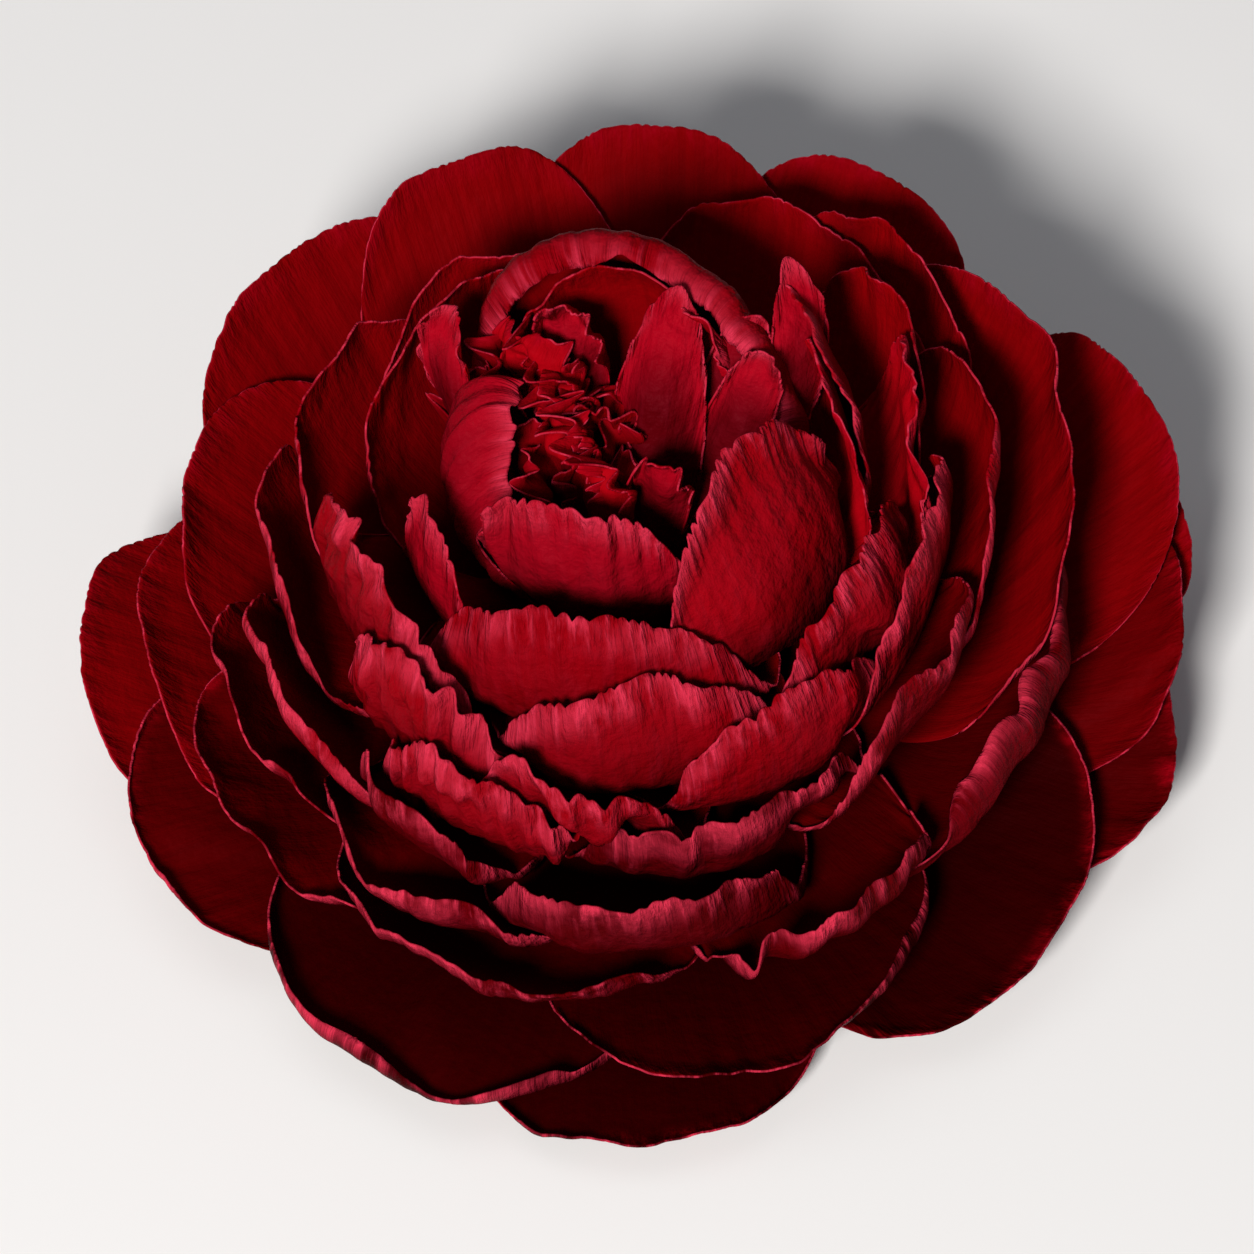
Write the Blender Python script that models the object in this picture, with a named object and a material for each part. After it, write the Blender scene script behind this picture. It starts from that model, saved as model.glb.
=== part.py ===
"""A double peony bloom, cut just under its calyx and resting face up.

Every petal is a strip of a "shell". Shells are a family of nested curves that leave the domed
receptacle: shell 0 starts at the dome's rim and spreads almost flat, and shell 1 starts at its top
and stands upright. A petal is stated by where its tip lies and how wide it is, and the shell and the
length that take it there are solved for. The petals are laid from the outermost to the innermost,
and each one is pushed inwards wherever it would touch those already laid.
"""

import math
from dataclasses import dataclass

import bmesh
import bpy
import numpy as np
from mathutils import Matrix, Vector

MM = 0.001

# Receptacle: a dome on a short stub of stem, cut flat where it rests.
DOME_RADIUS = 10.5 * MM
DOME_HEIGHT = 11.0 * MM
DOME_BASE = 8.0 * MM
DOME_RIM_ANGLE = -6.0
DOME_SHELL_ANGLE = 84.0
STUB_RADIUS = 3.6 * MM
STUB_HEIGHT = 1.0 * MM
COLLAR_RADIUS = 8.2 * MM
COLLAR_LOW = 2.5 * MM
COLLAR_HIGH = 3.8 * MM
DOME_SEGMENTS = 32
DOME_RINGS = 9
DOME_GREEN = (0.16, 0.24, 0.05)
DOME_ROUGHNESS = 0.6
WELD_DISTANCE = 0.004 * MM

# Calyx: spread sepals that the bloom rests on.
SEPAL_BEARINGS = (90.0, 210.0, 330.0)
SEPAL_REACH = 25.0 * MM
SEPAL_WIDTH = 17.0 * MM
SEPAL_THICKNESS = 1.0 * MM
SEPAL_FLAT_FROM = 12.5 * MM
SEPAL_FLAT_TO = 21.5 * MM
SEPAL_TIP_RISE = 0.8 * MM
SEPAL_BASE_WIDTH = 9.0 * MM
SEPAL_FALL_POWER = 1.5
SEPAL_BELLY = 0.8 * MM
SEPAL_FULLNESS = 0.8
SEPAL_GREEN = (0.10, 0.22, 0.04)
SEPAL_ROUGHNESS = 0.55
SEPAL_ACROSS = 7
SEPAL_ALONG = 9

# Shells: the angle at which each leaves the dome, and how much it bends inwards along its length.
SHELL_KEYS = (0.0, 0.3, 0.5, 0.7, 1.0)
SHELL_ANGLES = (-9.0, 8.0, 25.0, 46.0, 80.0)
SHELL_BENDS = (420.0, 1100.0, 1450.0, 1320.0, 750.0)
OUTER_DROOP = 60.0
OUTER_BEND = 2000.0
MIN_SPACING = 6.0 * MM

# The whole bloom: its back rises, and its top leans over.
SPREAD = 75.0 * MM
BACK_RISE = 20.0 * MM
CROWN_HEIGHT = 60.0 * MM
CROWN_LEAN = (-5.0 * MM, 7.0 * MM)
LEAN_LIMIT = 1.3

# Petals.
PETAL_THICKNESS = 0.4 * MM
PETAL_ROUGHNESS = 0.5
PETAL_GAP = 0.8 * MM
PIECE_GAP = 0.3 * MM
CLAW_WIDTH = 4.4 * MM
TIP_WIDTH = 0.78
CROWDING_LENGTH = 44.0 * MM
INNERMOST_BASE = 0.93

# Sheet on which a petal is laid, and the steps between the points kept for its solid.
SHEET_ACROSS = 71
SHEET_ALONG = 61
WIDE_STEP = 14
CURLED_STEP = 10
ALONG_STEP = 10

# Pile of laid petals: a grid over the distance along the shells and the bearing.
PILE_CELL = 0.5 * MM
PILE_ALONG = 200
PILE_AROUND = 480
UNLAID = -9.0
NEAR_CELLS = 2
SMOOTH_CELLS = 3
SMOOTH_FALLOFF = 1.5


@dataclass(frozen=True)
class Whorl:
    """A group of petals that share a blade shape, a colour and a mesh fineness."""

    fill: float
    widest: float
    across_step: int
    colour: tuple


@dataclass(frozen=True)
class Petal:
    """One petal.

    bearing: degrees around the axis; reach, rise: millimetres from the axis and above the surface to
    the middle of the tip; width: millimetres; dome: how far the tip's corners are rounded back;
    tuck: millimetres that the tip closes inwards; flare: millimetres that the side edges turn up;
    skew: how much longer one side is; early: how much sooner it is laid than its shell says.
    """

    bearing: float
    reach: float
    rise: float
    width: float
    dome: float = 0.10
    tuck: float = 0.0
    flare: float = 0.0
    skew: float = 0.0
    early: float = 0.0


WHORLS = {
    "guard": Whorl(fill=1.4, widest=0.72, across_step=WIDE_STEP, colour=(0.42, 0.006, 0.022)),
    "middle": Whorl(fill=1.15, widest=0.64, across_step=WIDE_STEP, colour=(0.48, 0.008, 0.030)),
    "ball": Whorl(fill=1.15, widest=0.64, across_step=CURLED_STEP, colour=(0.55, 0.012, 0.045)),
    "heart": Whorl(fill=1.4, widest=0.72, across_step=CURLED_STEP, colour=(0.60, 0.018, 0.060)),
}

GUARD_PETALS = (
    Petal(271, 70, 4, 50, early=0.04),
    Petal(240, 71, 6, 54, flare=3),
    Petal(289, 65, 12, 56, tuck=1),
    Petal(323, 69, 10, 58),
    Petal(349, 73, 16, 44),
    Petal(2, 75, 22, 38),
    Petal(12, 76, 26, 34),
    Petal(21, 76, 34, 46),
    Petal(23, 61, 48, 64),
    Petal(60, 70, 44, 44),
    Petal(87, 68, 46, 44),
    Petal(112, 67, 46, 40),
    Petal(137, 69, 40, 56),
    Petal(163, 63, 33, 48),
    Petal(181, 75, 20, 44),
    Petal(184, 66, 28, 48),
    Petal(203, 72, 12, 44),
)

MIDDLE_PETALS = (
    Petal(207, 62, 24, 44, tuck=2),
    Petal(199, 57, 34, 40, tuck=3),
    Petal(201, 52, 42, 36, tuck=4),
    Petal(178, 50, 47, 38, tuck=3),
    Petal(233, 54, 28, 42, tuck=5),
    Petal(229, 49, 37, 24, tuck=6),
    Petal(247, 58, 21, 54, tuck=4, dome=0.14),
    Petal(271, 51, 31, 46, tuck=8, dome=0.16),
    Petal(290, 42, 37, 46, tuck=7, dome=0.18, skew=0.04),
    Petal(302, 56, 27, 36, tuck=6),
    Petal(350, 60, 36, 64, tuck=6),
    Petal(334, 44, 45, 40, tuck=3),
    Petal(15, 49, 53, 44),
    Petal(47, 55, 54, 44),
    Petal(60, 53, 52, 54),
    Petal(122, 43, 56, 42),
    Petal(154, 47, 52, 44),
)

BALL_PETALS = (
    Petal(86, 30, 68, 60, dome=0.06),
    Petal(98, 26, 66, 32, dome=0.14),
    Petal(139, 38, 59, 46),
    Petal(198, 37, 60, 42, tuck=4, dome=0.16),
    Petal(220, 39, 54, 34, tuck=6, dome=0.20),
    Petal(236, 43, 46, 32, tuck=6, dome=0.20),
    Petal(254, 41, 45, 34, tuck=6, dome=0.20),
    Petal(268, 29, 53, 46, tuck=6, dome=0.20),
    Petal(306, 34, 49, 40, tuck=6, dome=0.20),
    Petal(338, 31, 57, 46, tuck=6, dome=0.20),
    Petal(354, 38, 55, 40, tuck=3, dome=0.16),
    Petal(246, 20, 61, 56, tuck=6, dome=0.18),
    Petal(43, 29, 69, 26, dome=0.16),
    Petal(37, 43, 61, 36, dome=0.16),
    Petal(338, 12, 67, 46, tuck=6, dome=0.20),
    Petal(122, 12, 60, 16),
)

HEART_PETALS = (
    Petal(217, 11, 63, 34, tuck=2, dome=0.16),
    Petal(32, 26, 66, 22, tuck=3, dome=0.20),
    Petal(72, 20, 68, 15, tuck=4, dome=0.20),
    Petal(156, 23, 63, 24, tuck=4, dome=0.18),
    Petal(195, 27, 61, 18, tuck=2, dome=0.16),
    Petal(24, 39, 62, 26, tuck=3, dome=0.20),
)

CORNER_POWER = 2.2
SLANT_POWER = 1.5
FLARE_POWER = 3.0
TUCK_FROM = 0.5
TUCK_GAIN = 4.0

SOLVE_SHELLS = (-0.12, 0.97)
SOLVE_LENGTHS = (15.0 * MM, 95.0 * MM)
SOLVE_STEPS = 400
UNLEAN_STEPS = 30
UNLEAN_GAIN = 0.8
SPACING_STEP = 0.01
AXIS_CLEARANCE = 3.0 * MM


def dome_point(shell, inset=0.0):
    """Where a shell leaves the dome: its distance from the axis and its height."""
    angle = np.radians(DOME_RIM_ANGLE + DOME_SHELL_ANGLE * shell)
    return (DOME_RADIUS - inset) * np.cos(angle), DOME_BASE + (DOME_HEIGHT - inset) * np.sin(angle)


def leaving_angle(shell):
    """The angle above the horizontal at which a shell leaves the dome, in radians."""
    return np.radians(np.interp(shell, SHELL_KEYS, SHELL_ANGLES) + OUTER_DROOP * np.minimum(shell, 0))


def bend(shell):
    """How much a shell bends inwards, in radians per metre of its length."""
    return np.radians(np.interp(shell, SHELL_KEYS, SHELL_BENDS) + OUTER_BEND * np.minimum(shell, 0))


def shell_point(shell, distance):
    """The point of a shell at a distance along it: how far out from the axis, and how high."""
    out, up = dome_point(shell)
    start = leaving_angle(shell)
    turn = bend(shell)
    end = start + turn * distance
    return out + (np.sin(end) - np.sin(start)) / turn, up + (np.cos(start) - np.cos(end)) / turn


def shell_spacing(shell, distance):
    """Metres between neighbouring shells for each unit of shell, square to the petal."""
    outer_out, outer_up = shell_point(shell - SPACING_STEP, distance)
    inner_out, inner_up = shell_point(shell + SPACING_STEP, distance)
    angle = leaving_angle(shell) + bend(shell) * distance
    across = (inner_up - outer_up) * np.cos(angle) - (inner_out - outer_out) * np.sin(angle)
    return np.maximum(MIN_SPACING, across / (2 * SPACING_STEP))


def lean(points):
    """Gives points of an upright bloom its lean: the back rises and the crown leans over."""
    out = np.clip(np.hypot(points[..., 0], points[..., 1]) / SPREAD, 0, LEAN_LIMIT)
    bearing = np.arctan2(points[..., 1], points[..., 0])
    up = np.clip(points[..., 2] / CROWN_HEIGHT, 0, LEAN_LIMIT)
    moved = np.array(points, dtype=float)
    moved[..., 0] += CROWN_LEAN[0] * up**2
    moved[..., 1] += CROWN_LEAN[1] * up**2
    moved[..., 2] += BACK_RISE * out**2 * np.sin(bearing)
    return moved


def upright(point):
    """The point of the upright bloom that the lean takes to this one."""
    guess = np.array(point, dtype=float)
    for _ in range(UNLEAN_STEPS):
        guess = guess - UNLEAN_GAIN * (lean(guess) - point)
    return guess


def reach_for(out, up):
    """The shell and the length along it that end nearest to a point."""
    shells, lengths = np.meshgrid(
        np.linspace(*SOLVE_SHELLS, SOLVE_STEPS), np.linspace(*SOLVE_LENGTHS, SOLVE_STEPS), indexing="ij"
    )
    ends_out, ends_up = shell_point(shells, lengths)
    nearest = np.argmin(np.hypot(ends_out - out, ends_up - up))
    return float(shells.flat[nearest]), float(lengths.flat[nearest])


def shifted(field, cells, sideways):
    """Yields a field moved by up to some cells each way; sideways it wraps around or is held."""
    padded = np.pad(field, ((cells, cells), (0, 0)), mode="edge")
    padded = np.pad(padded, ((0, 0), (cells, cells)), mode=sideways)
    rows, columns = field.shape
    for row in range(2 * cells + 1):
        for column in range(2 * cells + 1):
            yield row - cells, column - cells, padded[row:row + rows, column:column + columns]


def highest_near(field, cells, sideways):
    """The highest value within some cells of each one."""
    return np.maximum.reduce([view for _, _, view in shifted(field, cells, sideways)])


def smoothed(field, cells):
    """The field averaged over some cells each way, with the nearest ones counting most."""
    falloff = {step: math.exp(-(SMOOTH_FALLOFF * step / cells) ** 2) for step in range(-cells, cells + 1)}
    total = sum(falloff.values()) ** 2
    return sum(falloff[row] * falloff[column] * view for row, column, view in shifted(field, cells, "edge")) / total


class Strip:
    """A petal as a strip of its shell, as a sheet of points across and along it."""

    def __init__(self, name, petal, whorl):
        """Solves for the shell and length of a petal, and works out its flat outline."""
        self.name = name
        self.petal = petal
        self.whorl = whorl
        bearing = math.radians(petal.bearing)
        reach = petal.reach * MM
        tip = upright(np.array([reach * math.cos(bearing), reach * math.sin(bearing), petal.rise * MM]))
        self.bearing = math.atan2(tip[1], tip[0])
        self.tip_shell, self.length = reach_for(math.hypot(tip[0], tip[1]), tip[2])
        self.base_shell = 0.0
        tuck = petal.tuck * MM / float(shell_spacing(self.tip_shell, self.length))
        self.blade_shell = self.tip_shell - tuck

    def outline(self):
        """Place across (-1 to 1) and along (0 to 1), metres sideways and metres along, at each point."""
        across, along = np.meshgrid(
            np.linspace(-1, 1, SHEET_ACROSS), np.linspace(0, 1, SHEET_ALONG), indexing="ij"
        )
        petal, whorl = self.petal, self.whorl
        claw, blade = CLAW_WIDTH / 2, petal.width * MM / 2
        opened = np.clip(along / whorl.widest, 0, 1)
        closing = np.clip((along - whorl.widest) / (1 - whorl.widest), 0, 1)
        half_width = claw + (blade - claw) * np.sin(math.pi / 2 * opened) ** whorl.fill
        half_width = half_width * (1 - (1 - TIP_WIDTH) * closing**2)
        corners = petal.dome * np.abs(across) ** CORNER_POWER * along**2
        slant = petal.skew * across * along**SLANT_POWER
        return across, along, across * half_width, self.length * along * (1 - corners + slant)

    def lay(self, pile):
        """Lays the petal on the pile and returns its points, as an array across by along by XYZ."""
        across, along, sideways, distance = self.outline()
        crowding = np.clip(distance / CROWDING_LENGTH, 0, 1)
        freed = crowding**2 * (3 - 2 * crowding)
        shell = self.blade_shell + (self.base_shell - self.blade_shell) * (1 - freed)
        out, _ = shell_point(shell, distance)
        bearing = self.bearing + sideways / np.maximum(out, AXIS_CLEARANCE)
        tuck = self.petal.tuck * MM * TUCK_GAIN * np.clip(along - TUCK_FROM, 0, 1) ** 2
        flare = self.petal.flare * MM * np.abs(across) ** FLARE_POWER * along**2
        spacing = shell_spacing(shell, distance)
        shell = pile.add(distance, bearing, shell + (tuck + flare) / spacing, spacing)
        out, up = shell_point(shell, distance)
        return lean(np.stack([out * np.cos(bearing), out * np.sin(bearing), up], axis=-1))


class Pile:
    """The innermost shell that the laid petals reach, by distance along the shells and bearing."""

    def __init__(self):
        """Starts with nothing laid."""
        self.reached = np.full((PILE_ALONG, PILE_AROUND), UNLAID)

    def add(self, distance, bearing, shell, spacing):
        """Pushes a petal's points inwards until they clear the pile, adds them to it, returns them."""
        rows = np.round(np.clip(distance / PILE_CELL, 0, PILE_ALONG - 1)).astype(int)
        columns = np.round(bearing / (2 * math.pi) * PILE_AROUND).astype(int)
        nearby = highest_near(self.reached, NEAR_CELLS, "wrap")[rows, columns % PILE_AROUND]
        clear = nearby + (PETAL_GAP + PETAL_THICKNESS) / spacing
        push = np.maximum(0, (clear - shell) * spacing)
        push = smoothed(highest_near(push, NEAR_CELLS, "edge"), SMOOTH_CELLS)
        shell = shell + push / spacing
        for row in (-1, 0, 1):
            for column in (-1, 0, 1):
                cells = (np.clip(rows + row, 0, PILE_ALONG - 1), (columns + column) % PILE_AROUND)
                np.maximum.at(self.reached, cells, shell)
        return shell


def clear_scene():
    """Removes every object of the scene."""
    for leftover in list(bpy.data.objects):
        bpy.data.objects.remove(leftover, do_unlink=True)


def tissue(name, colour, roughness):
    """A plant tissue: a Principled surface with a colour and a roughness, and no metal."""
    material = bpy.data.materials.new(name)
    material.use_nodes = True
    surface = material.node_tree.nodes["Principled BSDF"]
    surface.inputs["Base Color"].default_value = (*colour, 1.0)
    surface.inputs["Roughness"].default_value = roughness
    surface.inputs["Metallic"].default_value = 0.0
    return material


def grow(name, shape, material, parent, foot=(0.0, 0.0, 0.0), bearing=0.0):
    """Makes one object from a bmesh in the bloom's own space, with its origin at its foot."""
    placement = Matrix.Translation(Vector(foot)) @ Matrix.Rotation(bearing, 4, "Z")
    shape.transform(placement.inverted())
    mesh = bpy.data.meshes.new(name)
    shape.to_mesh(mesh)
    shape.free()
    mesh.materials.append(material)
    mesh.shade_smooth()
    piece = bpy.data.objects.new(name, mesh)
    piece.location = foot
    piece.rotation_euler.z = bearing
    piece.parent = parent
    bpy.context.collection.objects.link(piece)
    return piece


def sheet(points):
    """A triangulated sheet through an array of points, across by along by XYZ."""
    across, along = points.shape[:2]
    shape = bmesh.new()
    bmesh.ops.create_grid(shape, x_segments=across - 1, y_segments=along - 1, size=1)
    for vertex in shape.verts:
        column = round((vertex.co.x + 1) / 2 * (across - 1))
        row = round((vertex.co.y + 1) / 2 * (along - 1))
        vertex.co = Vector(points[column, row])
    bmesh.ops.triangulate(shape, faces=shape.faces, quad_method="FIXED")
    return shape


def thicken(piece, thickness, offset):
    """Gives a sheet its thickness; offset 0 is to both sides and 1 is along its normals only."""
    solidify = piece.modifiers.new("Thickness", "SOLIDIFY")
    solidify.thickness = thickness
    solidify.offset = offset


def build_receptacle(bloom):
    """The receptacle's dome, its collar and the stub of stem under it, spun as one piece."""
    profile = [(0.0, 0.0), (STUB_RADIUS, 0.0), (STUB_RADIUS, STUB_HEIGHT)]
    profile += [(COLLAR_RADIUS, COLLAR_LOW), (COLLAR_RADIUS, COLLAR_HIGH)]
    top = (90.0 - DOME_RIM_ANGLE) / DOME_SHELL_ANGLE
    profile += [dome_point(top * ring / DOME_RINGS, PIECE_GAP) for ring in range(DOME_RINGS)]
    profile.append((0.0, DOME_BASE + DOME_HEIGHT - PIECE_GAP))
    shape = bmesh.new()
    corners = [shape.verts.new((out, 0.0, up)) for out, up in profile]
    edges = [shape.edges.new(pair) for pair in zip(corners, corners[1:])]
    bmesh.ops.spin(
        shape, geom=corners + edges, axis=(0, 0, 1), cent=(0, 0, 0), angle=2 * math.pi, steps=DOME_SEGMENTS
    )
    bmesh.ops.remove_doubles(shape, verts=shape.verts, dist=WELD_DISTANCE)
    bmesh.ops.recalc_face_normals(shape, faces=shape.faces)
    for vertex in shape.verts:
        followed = min(vertex.co.z / DOME_BASE, 1.0)
        leaned = Vector(lean(np.array(vertex.co)))
        vertex.co = vertex.co.lerp(leaned, followed)
    green = tissue("receptacle_and_stem", DOME_GREEN, DOME_ROUGHNESS)
    return grow("receptacle_and_stem", shape, green, bloom)


def sepal_height(out):
    """Height of a sepal's underside: it comes down from the collar, lies flat and turns up at its tip."""
    falling = max(0.0, (SEPAL_FLAT_FROM - out) / (SEPAL_FLAT_FROM - COLLAR_RADIUS))
    rising = max(0.0, (out - SEPAL_FLAT_TO) / (SEPAL_REACH - SEPAL_FLAT_TO))
    return COLLAR_LOW * falling**SEPAL_FALL_POWER + SEPAL_TIP_RISE * rising


def sepal_half_width(along):
    """Half of a sepal's width: a broad oval on a broad base."""
    base = SEPAL_BASE_WIDTH / 2 * (1 - along)
    oval = math.sin(math.pi * along**SEPAL_FULLNESS) ** SEPAL_FULLNESS
    return base + (SEPAL_WIDTH - SEPAL_BASE_WIDTH / 2) / 2 * oval + SEPAL_BELLY


def build_sepals(bloom):
    """The sepals, alike and evenly spread, each a leathery blade that lies on the surface."""
    start = COLLAR_RADIUS + PIECE_GAP
    for number, degrees in enumerate(SEPAL_BEARINGS, start=1):
        points = np.zeros((SEPAL_ACROSS, SEPAL_ALONG, 3))
        for column, across in enumerate(np.linspace(-1, 1, SEPAL_ACROSS)):
            for row, along in enumerate(np.linspace(0, 1, SEPAL_ALONG)):
                out = start + (SEPAL_REACH - start) * along
                sideways = -sepal_half_width(along) * across
                if row == 0:
                    out = math.sqrt(start**2 - sideways**2)
                points[column, row] = (out, sideways, sepal_height(out))
        bearing = math.radians(degrees)
        shape = sheet(points)
        shape.transform(Matrix.Rotation(bearing, 4, "Z"))
        foot = (start * math.cos(bearing), start * math.sin(bearing), 0.0)
        name = f"sepal_{number}"
        green = tissue(name, SEPAL_GREEN, SEPAL_ROUGHNESS)
        piece = grow(name, shape, green, bloom, foot, bearing)
        thicken(piece, SEPAL_THICKNESS, 1.0)


def build_petals(bloom):
    """Lays every petal, from the outermost shell to the innermost."""
    groups = {"guard": GUARD_PETALS, "middle": MIDDLE_PETALS, "ball": BALL_PETALS, "heart": HEART_PETALS}
    strips = [
        Strip(f"{group}_{number:02d}", petal, WHORLS[group])
        for group, petals in groups.items()
        for number, petal in enumerate(petals, start=1)
    ]
    strips.sort(key=lambda strip: strip.tip_shell - strip.petal.early)
    pile = Pile()
    for place, strip in enumerate(strips):
        strip.base_shell = INNERMOST_BASE * place / (len(strips) - 1)
        points = strip.lay(pile)[::strip.whorl.across_step, ::ALONG_STEP]
        foot = points[:, 0].mean(axis=0)
        red = tissue(strip.name, strip.whorl.colour, PETAL_ROUGHNESS)
        piece = grow(strip.name, sheet(points), red, bloom, foot, strip.bearing)
        thicken(piece, PETAL_THICKNESS, 0.0)


def centre(bloom):
    """Moves the whole bloom so that its box stands centred on the origin."""
    bpy.context.view_layer.update()
    graph = bpy.context.evaluated_depsgraph_get()
    corners = []
    for piece in bloom.children:
        evaluated = piece.evaluated_get(graph)
        corners += [evaluated.matrix_world @ vertex.co for vertex in evaluated.data.vertices]
    lows = [min(corner[axis] for corner in corners) for axis in range(3)]
    highs = [max(corner[axis] for corner in corners) for axis in range(3)]
    bloom.location = (-(lows[0] + highs[0]) / 2, -(lows[1] + highs[1]) / 2, -lows[2])


def main():
    """Builds the bloom: its receptacle, its calyx and its petals."""
    clear_scene()
    bloom = bpy.data.objects.new("bloom", None)
    bpy.context.collection.objects.link(bloom)
    build_receptacle(bloom)
    build_sepals(bloom)
    build_petals(bloom)
    centre(bloom)


main()
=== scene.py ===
"""A dressed double peony bloom, cut under its calyx and resting face up on a pale floor.

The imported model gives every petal's place. Each petal here is grown again over the same shells with
its waves, ruffles, crimped and toothed margin, and it stands for the plain solid of its node.
"""

import logging
import math
from dataclasses import dataclass, field, replace
from enum import Enum
from functools import partial
from typing import Callable

import bpy
import numpy as np
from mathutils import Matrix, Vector


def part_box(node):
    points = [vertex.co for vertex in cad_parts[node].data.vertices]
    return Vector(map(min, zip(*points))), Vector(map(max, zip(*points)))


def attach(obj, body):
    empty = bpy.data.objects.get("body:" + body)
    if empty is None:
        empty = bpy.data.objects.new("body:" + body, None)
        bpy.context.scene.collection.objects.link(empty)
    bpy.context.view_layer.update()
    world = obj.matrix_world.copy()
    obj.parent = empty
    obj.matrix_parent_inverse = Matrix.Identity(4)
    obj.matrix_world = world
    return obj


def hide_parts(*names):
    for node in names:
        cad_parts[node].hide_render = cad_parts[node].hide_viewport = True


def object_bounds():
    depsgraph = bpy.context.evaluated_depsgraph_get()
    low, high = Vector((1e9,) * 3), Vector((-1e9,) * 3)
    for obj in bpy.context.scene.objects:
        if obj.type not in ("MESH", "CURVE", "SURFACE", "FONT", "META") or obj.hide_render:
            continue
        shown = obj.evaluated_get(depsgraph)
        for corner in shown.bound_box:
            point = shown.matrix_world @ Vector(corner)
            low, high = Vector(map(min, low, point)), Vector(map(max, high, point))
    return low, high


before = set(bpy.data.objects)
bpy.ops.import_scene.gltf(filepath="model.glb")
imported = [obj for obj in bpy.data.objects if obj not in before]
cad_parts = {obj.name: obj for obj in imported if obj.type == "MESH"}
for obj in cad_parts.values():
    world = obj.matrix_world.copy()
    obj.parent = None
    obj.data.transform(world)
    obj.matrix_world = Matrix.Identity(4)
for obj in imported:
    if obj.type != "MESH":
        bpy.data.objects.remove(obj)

CAD_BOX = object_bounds()
LOG = logging.getLogger("peony")
MM = 0.001
ROOT = "root"

Points = np.ndarray
Colour = tuple[float, float, float]
Place = tuple[float, float, float]
Pair = tuple[float, float]
Margin = tuple[Points, Points, Points]
Grown = dict[str, Points]
Socket = bpy.types.NodeSocket
Material = bpy.types.Material
Piece = bpy.types.Object


class Slot(Enum):
    """The material slots."""

    GUARD = "petal_guard"
    MIDDLE = "petal_middle"
    BALL = "petal_ball"
    HEART = "petal_heart"
    RECEPTACLE = "receptacle"
    SEPAL = "sepal"


class Face(Enum):
    """The three kinds of face of a petal, in the order of its material slots."""

    INNER = 0
    OUTER = 1
    RIM = 2


# ---- finishes


class Wiring:
    """Adds shader nodes to a new material and joins them."""

    def __init__(self, name: str) -> None:
        """Starts an empty material.

        Args:
            name: The material's name.
        """
        self.material = bpy.data.materials.new(name)
        self.material.use_nodes = True
        self.tree = self.material.node_tree
        self.tree.nodes.clear()

    def feed(self, socket: Socket, value: object) -> None:
        """Joins a link to an input, or gives the input a value of its own.

        Args:
            socket: The input.
            value: The link or the value.
        """
        if isinstance(value, Socket):
            self.tree.links.new(value, socket)
        else:
            socket.default_value = value

    def add(self, kind: str, settings: dict | None = None, **sockets: object) -> bpy.types.Node:
        """Adds a node.

        Args:
            kind: The node's type, without the ShaderNode in front.
            settings: Values of the node's own properties.
            **sockets: Values or links of its inputs, by name with _ for a space, or i0, i1 by place.

        Returns:
            The new node.
        """
        node = self.tree.nodes.new("ShaderNode" + kind)
        for key, value in (settings or {}).items():
            setattr(node, key, value)
        for key, value in sockets.items():
            by_place = key[0] == "i" and key[1:].isdigit()
            self.feed(node.inputs[int(key[1:]) if by_place else key.replace("_", " ")], value)
        return node

    def math(self, operation: str, first: object, second: object, clamp: bool = False) -> Socket:
        """Joins two values or links by a Math node, and keeps the result between 0 and 1 if clamp is set."""
        node = self.add("Math", {"operation": operation, "use_clamp": clamp}, i0=first, i1=second)
        return node.outputs[0]

    def times(self, first: object, second: object, clamp: bool = False) -> Socket:
        """Multiplies two values or links."""
        return self.math("MULTIPLY", first, second, clamp)

    def plus(self, first: object, second: object) -> Socket:
        """Adds two values or links."""
        return self.math("ADD", first, second)

    def blend(self, amount: object, first: object, second: object) -> Socket:
        """Mixes two colours.

        Args:
            amount: 0 for the first colour, 1 for the second.
            first: The first colour or link.
            second: The second colour or link.

        Returns:
            The mixed colour.
        """
        node = self.add("Mix", {"data_type": "RGBA"}, i0=amount)
        for socket, colour in ((node.inputs[6], first), (node.inputs[7], second)):
            self.feed(socket, colour if isinstance(colour, Socket) else (*colour, 1.0))
        return node.outputs[2]

    def grain(self, vector: object, scale: float, detail: float = 2.0, roughness: float = 0.5) -> Socket:
        """Adds a noise, finer by its scale, and returns its value of about 0.3 to 0.7."""
        node = self.add("TexNoise", None, Vector=vector, Scale=scale, Detail=detail, Roughness=roughness)
        return node.outputs[0]

    def fibres(self, across: object, along: object, petal: object, fine: float, broken: float) -> Socket:
        """Adds a noise drawn out along the petal, which fans out from its claw.

        Args:
            across: The place along the margin.
            along: The place along the petal.
            petal: The petal's number, so that no two are alike.
            fine: How many fibres lie side by side.
            broken: How often they break along their length.

        Returns:
            The noise's value.
        """
        aside, onwards = self.times(across, fine), self.times(along, broken)
        place = self.add("CombineXYZ", None, X=aside, Y=onwards, Z=petal).outputs[0]
        return self.grain(place, 1.0, 4.0, 0.6)

    def stretch(self, value: object, low: float, high: float) -> Socket:
        """Takes values from low to high onto 0 to 1, smoothly, and holds those outside."""
        smooth = {"interpolation_type": "SMOOTHSTEP"}
        return self.add("MapRange", smooth, Value=value, From_Min=low, From_Max=high).outputs[0]

    def finish(self, surface: Socket) -> Material:
        """Joins a shader to the material's output and returns the finished material."""
        self.tree.links.new(surface, self.add("OutputMaterial").inputs["Surface"])
        return self.material


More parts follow.
